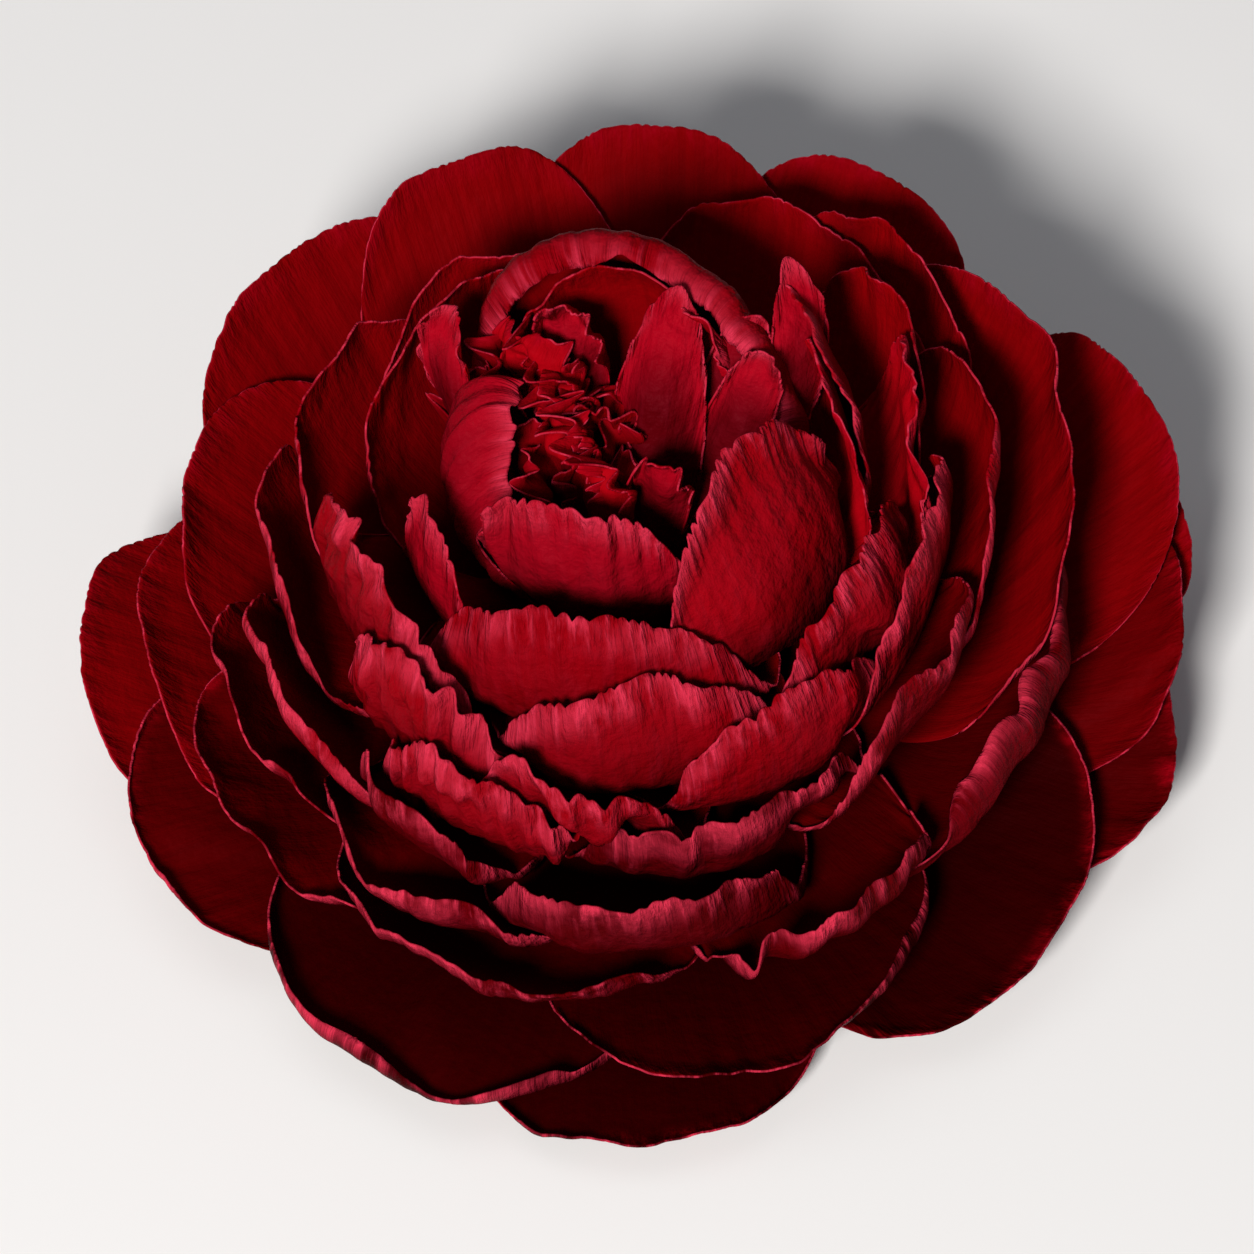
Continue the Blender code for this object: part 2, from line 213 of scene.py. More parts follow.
@dataclass(frozen=True)
class PetalFinish:
    """Petal tissue: a body colour, deeper along the veins and at the claw, where shade is painted, and rosier
    at the margin.

    The deep_and_shade colour is the claw's own deeper red and also painted shade, where the petals crowd
    over the claw; the rose_and_highlight colour is the margin's own rosy tint and also painted highlights on
    the crests of the margin's folds and on patches over the face. A petal's tone says how far
    its body colour reaches over the painted shade.
    rose_highlight_reach is how far in from the margin the rose runs, and blush_and_highlight is how much of
    it is everywhere; deep_shade_from and deep_shade_until are where, from claw to margin, the deep colour
    gives way to the body; vein is how dark the veins are; fibre, pucker and wrinkle are how high the fine
    fibres, the lumps and the margin's folds stand, and relief is how strongly all of them show. veins,
    fibres and folds say how many lie side by side and how often they break, and the two scales how fine
    the rosy patches of painted highlight and the lumps are. gloss and sheen are the shine's strength and
    colour, and light_through is how much light comes through.
    """

    name: str
    body: Colour
    deep_and_shade: Colour
    rose_and_highlight: Colour
    rose_highlight_reach: float = 0.5
    deep_shade_from: float = 0.3
    deep_shade_until: float = 0.95
    vein: float = 0.24
    roughness: float = 0.5
    blush_and_highlight: float = 0.0
    gloss: float = 0.015
    sheen: Colour = (1.0, 0.35, 0.45)
    light_through: float = 0.10
    relief: float = 0.45
    pucker: float = 1.2
    fibre: float = 0.35
    wrinkle: float = 4.0
    veins: Pair = (105.0, 5.0)
    fibres: Pair = (340.0, 22.0)
    folds: Pair = (52.0, 17.0)
    patch_scale: float = 110.0
    lump_scale: float = 380.0
    bump_height: float = 0.0007

    def make(self) -> Material:
        """Builds the material.

        Returns:
            The material, with its veins laid along the petal by its UV map.
        """
        wiring = Wiring(self.name)
        times, plus, stretch = wiring.times, wiring.plus, wiring.stretch
        uv = wiring.add("UVMap", {"uv_map": "UVMap"}).outputs[0]
        across, along, _ = wiring.add("SeparateXYZ", None, i0=uv).outputs
        marks = ("petal", "inset", "share", "tone")
        petal, inset, share, tone = (
            wiring.add("Attribute", {"attribute_name": mark}).outputs["Fac"] for mark in marks)
        veins, fine, folds = (
            wiring.fibres(across, along, petal, *grain) for grain in (self.veins, self.fibres, self.folds))
        spot = wiring.add("TexCoord").outputs["Object"]
        patches = stretch(wiring.grain(spot, self.patch_scale, 3.0), 0.38, 0.62)
        lumps = wiring.grain(spot, self.lump_scale, 3.0, 0.55)
        near = wiring.math("SUBTRACT", 1.0, stretch(inset, 0.0, self.rose_highlight_reach))
        # Painted shade: the deep colour spreads from the claw, further on petals with little tone.
        lit = times(stretch(share, self.deep_shade_from, self.deep_shade_until), tone)
        colour = wiring.blend(lit, self.deep_and_shade, self.body)
        lines = plus(times(stretch(veins, 0.36, 0.68), 0.7), times(fine, 2 * self.fibre))
        colour = wiring.blend(times(lines, self.vein), colour, self.deep_and_shade)
        # The rose is the margin's own tint, and also painted highlights along the crests of the folds and on
        # patches.
        spread = plus(times(wiring.math("POWER", near, 2.0), 1.3), self.blush_and_highlight)
        highlight_streaks = plus(times(stretch(folds, 0.46, 0.72), 0.8), times(patches, 0.5))
        colour = wiring.blend(times(spread, highlight_streaks, clamp=True), colour, self.rose_and_highlight)
        wrinkles = times(folds, plus(times(near, self.wrinkle), 0.8))
        height = plus(plus(times(fine, self.fibre), wrinkles), times(lumps, self.pucker))
        relief = {"Strength": self.relief, "Distance": self.bump_height}
        bump = wiring.add("Bump", None, Height=height, **relief).outputs[0]
        tissue = wiring.add(
            "BsdfPrincipled", None, Base_Color=colour, Roughness=self.roughness, Normal=bump,
            Specular_IOR_Level=self.gloss, Specular_Tint=(*self.sheen, 1.0)
        ).outputs[0]
        glow = wiring.add("BsdfTranslucent", None, Color=colour, Normal=bump).outputs[0]
        mixed = wiring.add("MixShader", None, i0=self.light_through, i1=tissue, i2=glow)
        return wiring.finish(mixed.outputs[0])


@dataclass(frozen=True)
class GreenFinish:
    """Leathery green tissue with fine pale speckles and a reddish flush."""

    name: str
    green: Colour
    pale: Colour
    flush: Colour
    roughness: float = 0.5
    speckle_scale: float = 900.0
    flush_scale: float = 140.0
    bump_height: float = 0.0003

    def make(self) -> Material:
        """Builds the material.

        Returns:
            The material, with its grain on object coordinates.
        """
        wiring = Wiring(self.name)
        spot = wiring.add("TexCoord").outputs["Object"]
        grain = wiring.grain(spot, self.speckle_scale, 4.0, 0.6)
        broad = wiring.stretch(wiring.grain(spot, self.flush_scale), 0.4, 0.65)
        mixed = wiring.blend(wiring.stretch(grain, 0.42, 0.7), self.green, self.pale)
        colour = wiring.blend(wiring.times(broad, 0.45), mixed, self.flush)
        bump = wiring.add("Bump", None, Strength=0.4, Distance=self.bump_height, Height=grain).outputs[0]
        tissue = wiring.add("BsdfPrincipled", None, Base_Color=colour, Roughness=self.roughness, Normal=bump)
        return wiring.finish(tissue.outputs[0])


@dataclass(frozen=True)
class FloorFinish:
    """A plain pale matt surface."""

    name: str = "pale_floor"
    colour: Colour = (0.86, 0.85, 0.84)
    roughness: float = 0.7

    def make(self) -> Material:
        """Builds the material.

        Returns:
            The material, the same all over.
        """
        wiring = Wiring(self.name)
        matt = wiring.add("BsdfPrincipled", None, Base_Color=(*self.colour, 1.0), Roughness=self.roughness)
        return wiring.finish(matt.outputs[0])


# ---- helpers for modelling


def begin() -> None:
    """Leaves edit mode and deselects everything before a new piece is modelled."""
    if bpy.context.object and bpy.context.object.mode != "OBJECT":
        bpy.ops.object.mode_set(mode="OBJECT")
    bpy.ops.object.select_all(action="DESELECT")


def apply_modifier(piece: Piece, kind: str, **settings: object) -> None:
    """Adds a modifier to a piece and applies it.

    Args:
        piece: The piece, which is made the active object.
        kind: The modifier's type.
        **settings: Values of its properties.
    """
    bpy.context.view_layer.objects.active = piece
    modifier = piece.modifiers.new(kind.title(), kind)
    for key, value in settings.items():
        setattr(modifier, key, value)
    bpy.ops.object.modifier_apply(modifier=modifier.name)


def enter(piece: Piece, node: str | None = None) -> None:
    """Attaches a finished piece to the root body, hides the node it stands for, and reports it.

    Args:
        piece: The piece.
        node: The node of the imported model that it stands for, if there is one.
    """
    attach(piece, ROOT)
    if node:
        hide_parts(node)
    LOG.info("%s: %d faces", piece.name, len(piece.data.polygons))


def fading(inset: Points, depth: float) -> Points:
    """How near the margin a place is: 1 at the margin, falling evenly to 0 at a depth."""
    return np.clip(1 - inset / depth, 0, 1)


def ripple(place: Points, length: float, seed: int) -> Points:
    """An irregular wave along a line, mostly between -1 and 1.

    Args:
        place: Metres along the line.
        length: The usual distance between its crests, in metres.
        seed: Picks one wave of many.

    Returns:
        The wave's height at each place.
    """
    pick = np.random.default_rng(seed)
    lengths = length * pick.uniform(0.65, 1.6, 6)
    phases = pick.uniform(0, 2 * math.pi, 6)
    return sum(np.sin(2 * math.pi * place / each + phase) for each, phase in zip(lengths, phases)) / 2.4


def swell(across: Points, along: Points, length: float, seed: int) -> Points:
    """Irregular hills and hollows over a sheet, longer along it than across, mostly between -1 and 1.

    Args:
        across: Metres across the sheet.
        along: Metres along it.
        length: The usual distance between hills, in metres.
        seed: Picks one pattern of many.

    Returns:
        The height at each point.
    """
    pick = np.random.default_rng(seed)
    total = np.zeros_like(across)
    for turn, stretch, phase in pick.uniform((0, 0.7, 0), (math.pi, 1.5, 2 * math.pi), (7, 3)):
        way = (across * math.cos(turn) + along * 0.6 * math.sin(turn)) / (length * stretch)
        total += np.sin(2 * math.pi * way + phase)
    return total / 2.6


# ---- the shells that petals lie on


@dataclass(frozen=True)
class Shells:
    """The nested curves that petals follow, from 0 at the dome's rim to 1 at its top, and the bloom's lean.

    angles and bends say, at the shells of keys, at how many degrees above the horizontal a shell leaves
    the dome and by how many degrees per metre it bends inwards.
    """

    dome_radius: float = 10.5 * MM
    dome_height: float = 11.0 * MM
    dome_base: float = 8.0 * MM
    rim_angle: float = -6.0
    top_angle: float = 84.0
    keys: tuple[float, ...] = (0.0, 0.3, 0.5, 0.7, 1.0)
    angles: tuple[float, ...] = (-9.0, 8.0, 25.0, 46.0, 80.0)
    bends: tuple[float, ...] = (420.0, 1100.0, 1450.0, 1320.0, 750.0)
    outer_droop: float = 60.0
    outer_bend: float = 2000.0
    step: float = 0.01
    min_spacing: float = 6.0 * MM
    spread: float = 75.0 * MM
    back_rise: float = 20.0 * MM
    crown_height: float = 60.0 * MM
    crown_lean: Pair = (-5.0 * MM, 7.0 * MM)
    lean_limit: float = 1.3
    solve_shells: Pair = (-0.12, 0.97)
    solve_lengths: Pair = (15.0 * MM, 95.0 * MM)
    solve_steps: int = 400
    upright_rounds: int = 30
    upright_share: float = 0.8

    def start(self, shell: Points, inset: float = 0.0) -> tuple[Points, Points]:
        """How far out and how high a shell leaves the dome, or a surface some metres under it."""
        angle, radius = np.radians(self.rim_angle + self.top_angle * shell), self.dome_radius - inset
        return radius * np.cos(angle), self.dome_base + (self.dome_height - inset) * np.sin(angle)

    def angle(self, shell: Points) -> Points:
        """The angle above the horizontal at which a shell leaves the dome, in radians."""
        return np.radians(np.interp(shell, self.keys, self.angles) + self.outer_droop * np.minimum(shell, 0))

    def bend(self, shell: Points) -> Points:
        """How much a shell bends inwards, in radians per metre."""
        return np.radians(np.interp(shell, self.keys, self.bends) + self.outer_bend * np.minimum(shell, 0))

    def point(self, shell: Points, distance: Points) -> tuple[Points, Points]:
        """The point of a shell at a distance along it.

        Args:
            shell: The shell.
            distance: Metres along it.

        Returns:
            How far out from the axis it is, and how high.
        """
        out, up = self.start(shell)
        first, turn = self.angle(shell), self.bend(shell)
        last = first + turn * distance
        return out + (np.sin(last) - np.sin(first)) / turn, up + (np.cos(first) - np.cos(last)) / turn

    def spacing(self, shell: Points, distance: Points) -> Points:
        """Metres between neighbouring shells for each unit of shell, square to the petal.

        Args:
            shell: The shell.
            distance: Metres along it.

        Returns:
            The spacing at each point.
        """
        outer, inner = self.point(shell - self.step, distance), self.point(shell + self.step, distance)
        angle = self.angle(shell) + self.bend(shell) * distance
        across = (inner[1] - outer[1]) * np.cos(angle) - (inner[0] - outer[0]) * np.sin(angle)
        return np.maximum(self.min_spacing, across / (2 * self.step))

    def lean(self, points: Points) -> Points:
        """Gives an upright bloom its lean: the back rises and the crown leans over.

        Args:
            points: Points of the upright bloom.

        Returns:
            The leaned points.
        """
        out = np.clip(np.hypot(points[..., 0], points[..., 1]) / self.spread, 0, self.lean_limit)
        bearing = np.arctan2(points[..., 1], points[..., 0])
        up = np.clip(points[..., 2] / self.crown_height, 0, self.lean_limit)
        moved = np.array(points, dtype=float)
        moved[..., 0] += self.crown_lean[0] * up**2
        moved[..., 1] += self.crown_lean[1] * up**2
        moved[..., 2] += self.back_rise * out**2 * np.sin(bearing)
        return moved

    def upright(self, point: Points) -> Points:
        """Finds the point of the upright bloom that the lean takes to this one.

        Args:
            point: The leaned point.

        Returns:
            The upright point.
        """
        guess = np.array(point, dtype=float)
        for _ in range(self.upright_rounds):
            guess = guess - self.upright_share * (self.lean(guess) - point)
        return guess

    def reach_for(self, out: float, up: float) -> Pair:
        """Finds the shell and the length along it that end nearest to a point.

        Args:
            out: The point's distance from the axis.
            up: Its height.

        Returns:
            The shell and the length.
        """
        tried = (np.linspace(*ends, self.solve_steps) for ends in (self.solve_shells, self.solve_lengths))
        shells, lengths = np.meshgrid(*tried, indexing="ij")
        ends_out, ends_up = self.point(shells, lengths)
        nearest = np.argmin(np.hypot(ends_out - out, ends_up - up))
        return float(shells.flat[nearest]), float(lengths.flat[nearest])

    def place(self, shell: Points, distance: Points, bearing: Points, lift: Points | float = 0.0) -> Points:
        """The leaned points at places on the shells.

        Args:
            shell: The shell.
            distance: Metres along it.
            bearing: Radians around the axis.
            lift: Metres off the shell, square to it, inwards.

        Returns:
            The points, XYZ last.
        """
        out, up = self.point(shell, distance)
        slope = self.angle(shell) + self.bend(shell) * distance
        out, up = out - lift * np.sin(slope), up + lift * np.cos(slope)
        return self.lean(np.stack([out * np.cos(bearing), out * np.sin(bearing), up], axis=-1))


def shifted(grid: Points, cells: int, sideways: str) -> list[tuple[int, int, Points]]:
    """The grid moved by up to some cells each way.

    Args:
        grid: The values.
        cells: The furthest move.
        sideways: "wrap" where the columns go round, or "edge".

    Returns:
        The row step, the column step and the moved grid, for each move.
    """
    padded = np.pad(grid, ((cells, cells), (0, 0)), mode="edge")
    padded = np.pad(padded, ((0, 0), (cells, cells)), mode=sideways)
    rows, columns = grid.shape
    steps = range(2 * cells + 1)
    return [(i - cells, j - cells, padded[i:i + rows, j:j + columns]) for i in steps for j in steps]


def highest_near(grid: Points, cells: int, sideways: str) -> Points:
    """The highest value within some cells of each one."""
    return np.maximum.reduce([view for _, _, view in shifted(grid, cells, sideways)])


def smoothed(grid: Points, cells: int) -> Points:
    """The values averaged over some cells each way, with the nearest counting most.

    Args:
        grid: The values.
        cells: How far the average reaches.

    Returns:
        The smoothed values.
    """
    falloff = {step: math.exp(-((1.5 * step / cells) ** 2)) for step in range(-cells, cells + 1)}
    total = sum(falloff.values()) ** 2
    return sum(falloff[i] * falloff[j] * view for i, j, view in shifted(grid, cells, "edge")) / total


def between(grid: Points, row: Points, column: Points) -> Points:
    """Reads a grid between its cells. Its columns go round.

    Args:
        grid: The values, cell by cell.
        row: Rows, with their fractions.
        column: Columns, with their fractions.

    Returns:
        The value at each place.
    """
    i, j = row.astype(int), column.astype(int)
    down, right = row - i, column - j
    sides = (side % grid.shape[1] for side in (j, j + 1))
    before, after = (grid[i, side] * (1 - down) + grid[i + 1, side] * down for side in sides)
    return before * (1 - right) + after * right


@dataclass
class Cells:
    """The cells that divide up the shells, by distance along them and bearing."""

    cell: float = 0.5 * MM
    along: int = 200
    around: int = 480

    def beside(self, rows: Points, columns: Points, reach: int) -> list[tuple[Points, Points]]:
        """Finds the cells around each given one.

        Args:
            rows: The cells' rows.
            columns: Their columns.
            reach: How many cells away.

        Returns:
            Rows and columns, for each step away.
        """
        steps = range(-reach, reach + 1)
        return [(np.clip(rows + row, 0, self.along - 1), (columns + column) % self.around)
                for row in steps for column in steps]


@dataclass
class Pile(Cells):
    """The innermost shell that the laid petals reach, cell by cell."""

    clearance: float = 1.2 * MM
    near: int = 2
    smooth: int = 3
    nothing: float = -9.0
    reached: Points = field(init=False)

    def __post_init__(self) -> None:
        """Starts with nothing laid."""
        self.reached = np.full((self.along, self.around), self.nothing)

    def add(self, distance: Points, bearing: Points, shell: Points, spacing: Points) -> Points:
        """Pushes a petal's points inwards until they clear the pile, and adds them to it.

        Args:
            distance: Metres along the shells.
            bearing: Radians around the axis.
            shell: Where the petal would lie by itself.
            spacing: Metres for each unit of shell.

        Returns:
            The shell at each point once it is laid.
        """
        rows = np.round(np.clip(distance / self.cell, 0, self.along - 1)).astype(int)
        columns = np.round(bearing / (2 * math.pi) * self.around).astype(int)
        nearby = highest_near(self.reached, self.near, "wrap")[rows, columns % self.around]
        push = np.maximum(0, (nearby + self.clearance / spacing - shell) * spacing)
        push = smoothed(highest_near(push, self.near, "edge"), self.smooth)
        shell = shell + push / spacing
        for cells in self.beside(rows, columns, 1):
            np.maximum.at(self.reached, cells, shell)
        return shell


@dataclass
class Layers(Cells):
    """The shell of every plain sheet, cell by cell, from which a frilled petal knows its room."""

    most: float = 9.0 * MM
    least: float = 0.02 * MM
    near: int = 3
    smooth: int = 4
    sheets: list[Points] = field(init=False, default_factory=list)

    def at(self, distance: Points, bearing: Points) -> tuple[Points, Points]:
        """The rows and columns of places on the shells, with their fractions."""
        rows = np.clip(distance / self.cell, 0, self.along - 1.01)
        return rows, (bearing / (2 * math.pi) * self.around) % self.around

    def add(self, distance: Points, bearing: Points, shell: Points) -> None:
        """Keeps a plain sheet, spread over the cells beside its points.

        Args:
            distance: Metres along the shells.
            bearing: Radians around the axis.
            shell: The shell at each point.
        """
        sheet = np.full((self.along, self.around), np.nan)
        rows, columns = (np.round(values).astype(int) for values in self.at(distance, bearing))
        for reach in (2, 1, 0):
            for cells in self.beside(rows, columns, reach):
                sheet[cells] = shell
        self.sheets.append(sheet)

    def rooms(self, own: int, shells: Shells, gap: float) -> tuple[Points, Points]:
        """How far a petal may move inwards and outwards, cell by cell.

        Args:
            own: The petal's place among the sheets.
            shells: The family of shells.
            gap: Metres kept free between two petals' middles.

        Returns:
            The room inwards and the room outwards, in metres.
        """
        mine = self.sheets[own]
        here = np.where(np.isnan(mine), 0.5, mine)
        spacing = shells.spacing(here, self.cell * np.arange(self.along)[:, None])
        rooms = [np.full(mine.shape, self.most), np.full(mine.shape, self.most)]
        for number, sheet in enumerate(self.sheets):
            if number != own:
                between = (sheet - mine) * spacing
                rooms[0] = np.where(between > 0, np.minimum(rooms[0], between), rooms[0])
                rooms[1] = np.where(between <= 0, np.minimum(rooms[1], -between), rooms[1])
        free = [np.maximum((room - gap) / 2, self.least) for room in rooms]
        inner, outer = (smoothed(-highest_near(-room, self.near, "wrap"), self.smooth) for room in free)
        return inner, outer

    def read(self, grid: Points, distance: Points, bearing: Points) -> Points:
        """Reads a grid of cells at places on the shells."""
        return between(grid, *self.at(distance, bearing))


# ---- petals


@dataclass(frozen=True)
class Frill:
    """How a blade is waved, ruffled, crimped, toothed and rolled. Lengths in millimetres, angles in degrees.

    wave bends the blade broadly; ruffle waves its margin as far in as ruffle_depth; crimp presses
    short folds into the margin between its teeth; pleat lays long soft folds that fan out from the
    claw; tooth and lobe cut the margin back; roll turns it over, and side_roll turns one side further,
    the right one if it is positive; crease folds the blade down along a line from its claw to
    crease_at, a share of its margin; rugose puckers the whole face; free is how many times its room
    the blade may take inwards; longer is how far the blade runs on past its solid's tip.
    """

    wave: float = 0.8
    wave_length: float = 26.0
    ruffle: float = 0.7
    ruffle_length: float = 12.0
    ruffle_depth: float = 14.0
    crimp: float = 0.18
    crimp_depth: float = 4.0
    pleat: float = 0.13
    pleat_length: float = 4.0
    pleat_depth: float = 22.0
    tooth: float = 0.45
    tooth_length: float = 2.3
    lobe: float = 0.6
    lobe_length: float = 13.0
    roll: float = 20.0
    roll_band: float = 4.0
    side_roll: float = 0.0
    crease: float = 0.0
    crease_at: float = 0.5
    rugose: float = 0.0
    rugose_length: float = 4.5
    free: float = 1.0
    longer: float = 0.0


@dataclass(frozen=True)
class Whorl:
    """A group of petals that share a slot, a frill and a blade shape.

    fill is how slowly the blade widens from its claw, and widest how far along it is at its widest.
    """

    name: str
    slot: Slot
    fill: float
    widest: float
    frill: Frill


@dataclass(frozen=True)
class Petal:
    """One petal: where the middle of its tip lies, in degrees and millimetres, and its shape.

    width is in millimetres; dome is how far the tip's corners are rounded back; tuck and flare are
    millimetres that the tip closes inwards and the sides turn up; skew makes one side longer; early
    lays it sooner; tone is how much of its colour shows over the deep colour and painted shade of
    its claw, low where the petal is painted in shade and above 1 where it is painted lit; frill holds the
    values of its frill that are its own.
    """

    bearing: float
    reach: float
    rise: float
    width: float
    dome: float = 0.10
    tuck: float = 0.0
    flare: float = 0.0
    skew: float = 0.0
    early: float = 0.0
    tone: float = 1.0
    frill: dict[str, float] = field(default_factory=dict)


GUARD = Whorl("guard", Slot.GUARD, 1.4, 0.72, Frill(
    wave=1.2, wave_length=34, ruffle=0.45, ruffle_length=17, crimp=0.08, tooth=0.3, tooth_length=2.0,
    lobe=0.7, lobe_length=21, pleat=0.08, pleat_length=5, roll=14))
MIDDLE = Whorl("middle", Slot.MIDDLE, 1.15, 0.64, Frill(
    ruffle=0.6, crimp=0.12, crimp_depth=6, tooth=0.45, tooth_length=2.6, pleat=0.08, roll=26))
BALL = Whorl("ball", Slot.BALL, 1.15, 0.64, Frill(
    ruffle=0.5, crimp=0.14, crimp_depth=7, tooth=0.55, tooth_length=2.8, pleat=0.08, pleat_length=6, roll=12,
    rugose=0.24, rugose_length=6))
HEART = Whorl("heart", Slot.HEART, 1.4, 0.72, Frill(
    crimp=0.18, tooth=0.7, tooth_length=2.6, ruffle_length=9, pleat=0.18, roll=-15, rugose=0.2))

# The guards at the front have little tone, so their faces are painted in shade.
GUARD_PETALS = (
    Petal(271, 70, 4, 50, early=0.04, tone=0.08, frill=dict(roll=30, side_roll=-40)),
    Petal(240, 71, 6, 54, flare=3, tone=0.12, frill=dict(roll=95, roll_band=5, wave=0.8)),
    Petal(289, 65, 12, 56, tuck=1, tone=0.14, frill=dict(side_roll=120, roll_band=6)),
    Petal(323, 69, 10, 58, tone=0.08, frill=dict(side_roll=45)),
    Petal(349, 73, 16, 44, tone=0.3, frill=dict(crease=2.6, crease_at=0.42)),
    Petal(2, 75, 22, 38, tone=0.6),
    Petal(12, 76, 26, 34),
    Petal(21, 76, 34, 46),
    Petal(23, 61, 48, 64, frill=dict(tooth=0.45)),
    Petal(60, 70, 44, 44),
    Petal(87, 68, 46, 44),
    Petal(112, 67, 46, 40),
    Petal(137, 69, 40, 56),
    Petal(163, 63, 33, 48),
    Petal(181, 75, 20, 44),
    Petal(184, 66, 28, 48),
    Petal(203, 72, 12, 44, tone=0.4, frill=dict(roll=60)),
)

# The middle petals towards the front have little tone, so their inner faces are painted in shade.
MIDDLE_PETALS = (
    Petal(207, 62, 24, 44, tuck=2, tone=0.35),
    Petal(199, 57, 34, 40, tuck=3, tone=0.5),
    Petal(201, 52, 42, 36, tuck=4, frill=dict(tooth=0.6, roll=45)),
    Petal(178, 50, 47, 38, tuck=3),
    Petal(233, 54, 28, 42, tuck=5, tone=0.35, frill=dict(tooth=0.5, tooth_length=3.0, roll=45, roll_band=5)),
    Petal(229, 49, 37, 24, tuck=6, tone=0.35, frill=dict(roll=55, roll_band=5)),
    Petal(247, 58, 21, 54, tuck=4, dome=0.14, tone=0.25,
          frill=dict(ruffle=0.5, roll=35, roll_band=5, longer=2)),
    Petal(271, 51, 31, 46, tuck=8, dome=0.16, tone=0.2,
          frill=dict(ruffle=0.5, roll=40, roll_band=7, crimp=0.15, lobe=0.9, longer=3)),
    Petal(290, 42, 37, 46, tuck=7, dome=0.18, skew=0.04, tone=0.25,
          frill=dict(ruffle=0.9, ruffle_length=9, lobe=1.0)),
    Petal(302, 56, 27, 36, tuck=6, tone=0.25, frill=dict(ruffle=1.1, ruffle_length=8, roll=60, roll_band=5)),
    Petal(350, 60, 36, 64, tuck=6, tone=0.35,
          frill=dict(ruffle=1.3, ruffle_length=9, roll=135, roll_band=9, crimp=0.15, free=1.9)),
    Petal(334, 44, 45, 40, tuck=3, tone=0.5),
    Petal(15, 49, 53, 44),
    Petal(47, 55, 54, 44),
    Petal(60, 53, 52, 54),
    Petal(122, 43, 56, 42),
    Petal(154, 47, 52, 44),
)

PUCKERED = dict(tooth=0.5, crimp=0.12, rugose=0.8, rugose_length=3.5)

BALL_PETALS = (
    Petal(86, 30, 68, 60, dome=0.06, frill=dict(roll=140, roll_band=6, tooth=0.5, free=3, longer=6)),
    Petal(98, 26, 66, 32, dome=0.14, frill=dict(crease=2.5, crease_at=0.45, lobe=1.6)),
    Petal(139, 38, 59, 46),
    Petal(198, 37, 60, 42, tuck=4, dome=0.16, frill=PUCKERED),
    Petal(220, 39, 54, 34, tuck=6, dome=0.20, frill=PUCKERED),
    Petal(236, 43, 46, 32, tuck=6, dome=0.20, frill=PUCKERED),
    Petal(254, 41, 45, 34, tuck=6, dome=0.20, frill=dict(ruffle=0.7, ruffle_length=8, rugose=0.4)),
    Petal(268, 29, 53, 46, tuck=6, dome=0.20),
    Petal(306, 34, 49, 40, tuck=6, dome=0.20),
    Petal(338, 31, 57, 46, tuck=6, dome=0.20),
    Petal(354, 38, 55, 40, tuck=3, dome=0.16),
    Petal(246, 20, 61, 56, tuck=6, dome=0.18),
    Petal(43, 29, 69, 26, dome=0.16),
    Petal(37, 43, 61, 36, dome=0.16),
    # Its high tone paints this petal lit nearly down to its claw.
    Petal(338, 12, 67, 46, tuck=6, dome=0.20, tone=2.2, frill=dict(
        pleat=0.12, wave=0.4, roll=-16, roll_band=9, longer=6, tooth=0.85, tooth_length=3.0, crimp=0.2,
        crimp_depth=9, rugose=0.15)),
    Petal(122, 12, 60, 16, frill=dict(
        ruffle=1.4, ruffle_length=6, pleat=0.4, crimp=0.25, tooth=0.7, rugose=0.5)),
)

HEART_PETALS = (
    Petal(217, 11, 63, 34, tuck=2, dome=0.16, frill=dict(pleat=0.3, pleat_length=5, roll=-25)),
    Petal(32, 26, 66, 22, tuck=3, dome=0.20),
    Petal(72, 20, 68, 15, tuck=4, dome=0.20),
    Petal(156, 23, 63, 24, tuck=4, dome=0.18, frill=dict(
        roll=90, roll_band=12, pleat=0.35, pleat_length=5, tooth=0.9, tooth_length=3.2, free=2, longer=9)),
    Petal(195, 27, 61, 18, tuck=2, dome=0.16),
    Petal(24, 39, 62, 26, tuck=3, dome=0.20),
)


def measured(side: Points, top: Points) -> Margin:
    """Adds the metres along it to a margin that is given sideways and upwards."""
    return side, top, np.concatenate([[0], np.cumsum(np.hypot(np.diff(side), np.diff(top)))])


def at_margin(margin: Margin, across: Points) -> tuple[Points, Points, Points]:
    """Reads a margin at shares of its length.

    Args:
        margin: Metres sideways, upwards and along it.
        across: The shares.

    Returns:
        Metres along the margin, sideways and upwards.
    """
    side, top, run = margin
    place = across * run[-1]
    return place, np.interp(place, run, side), np.interp(place, run, top)


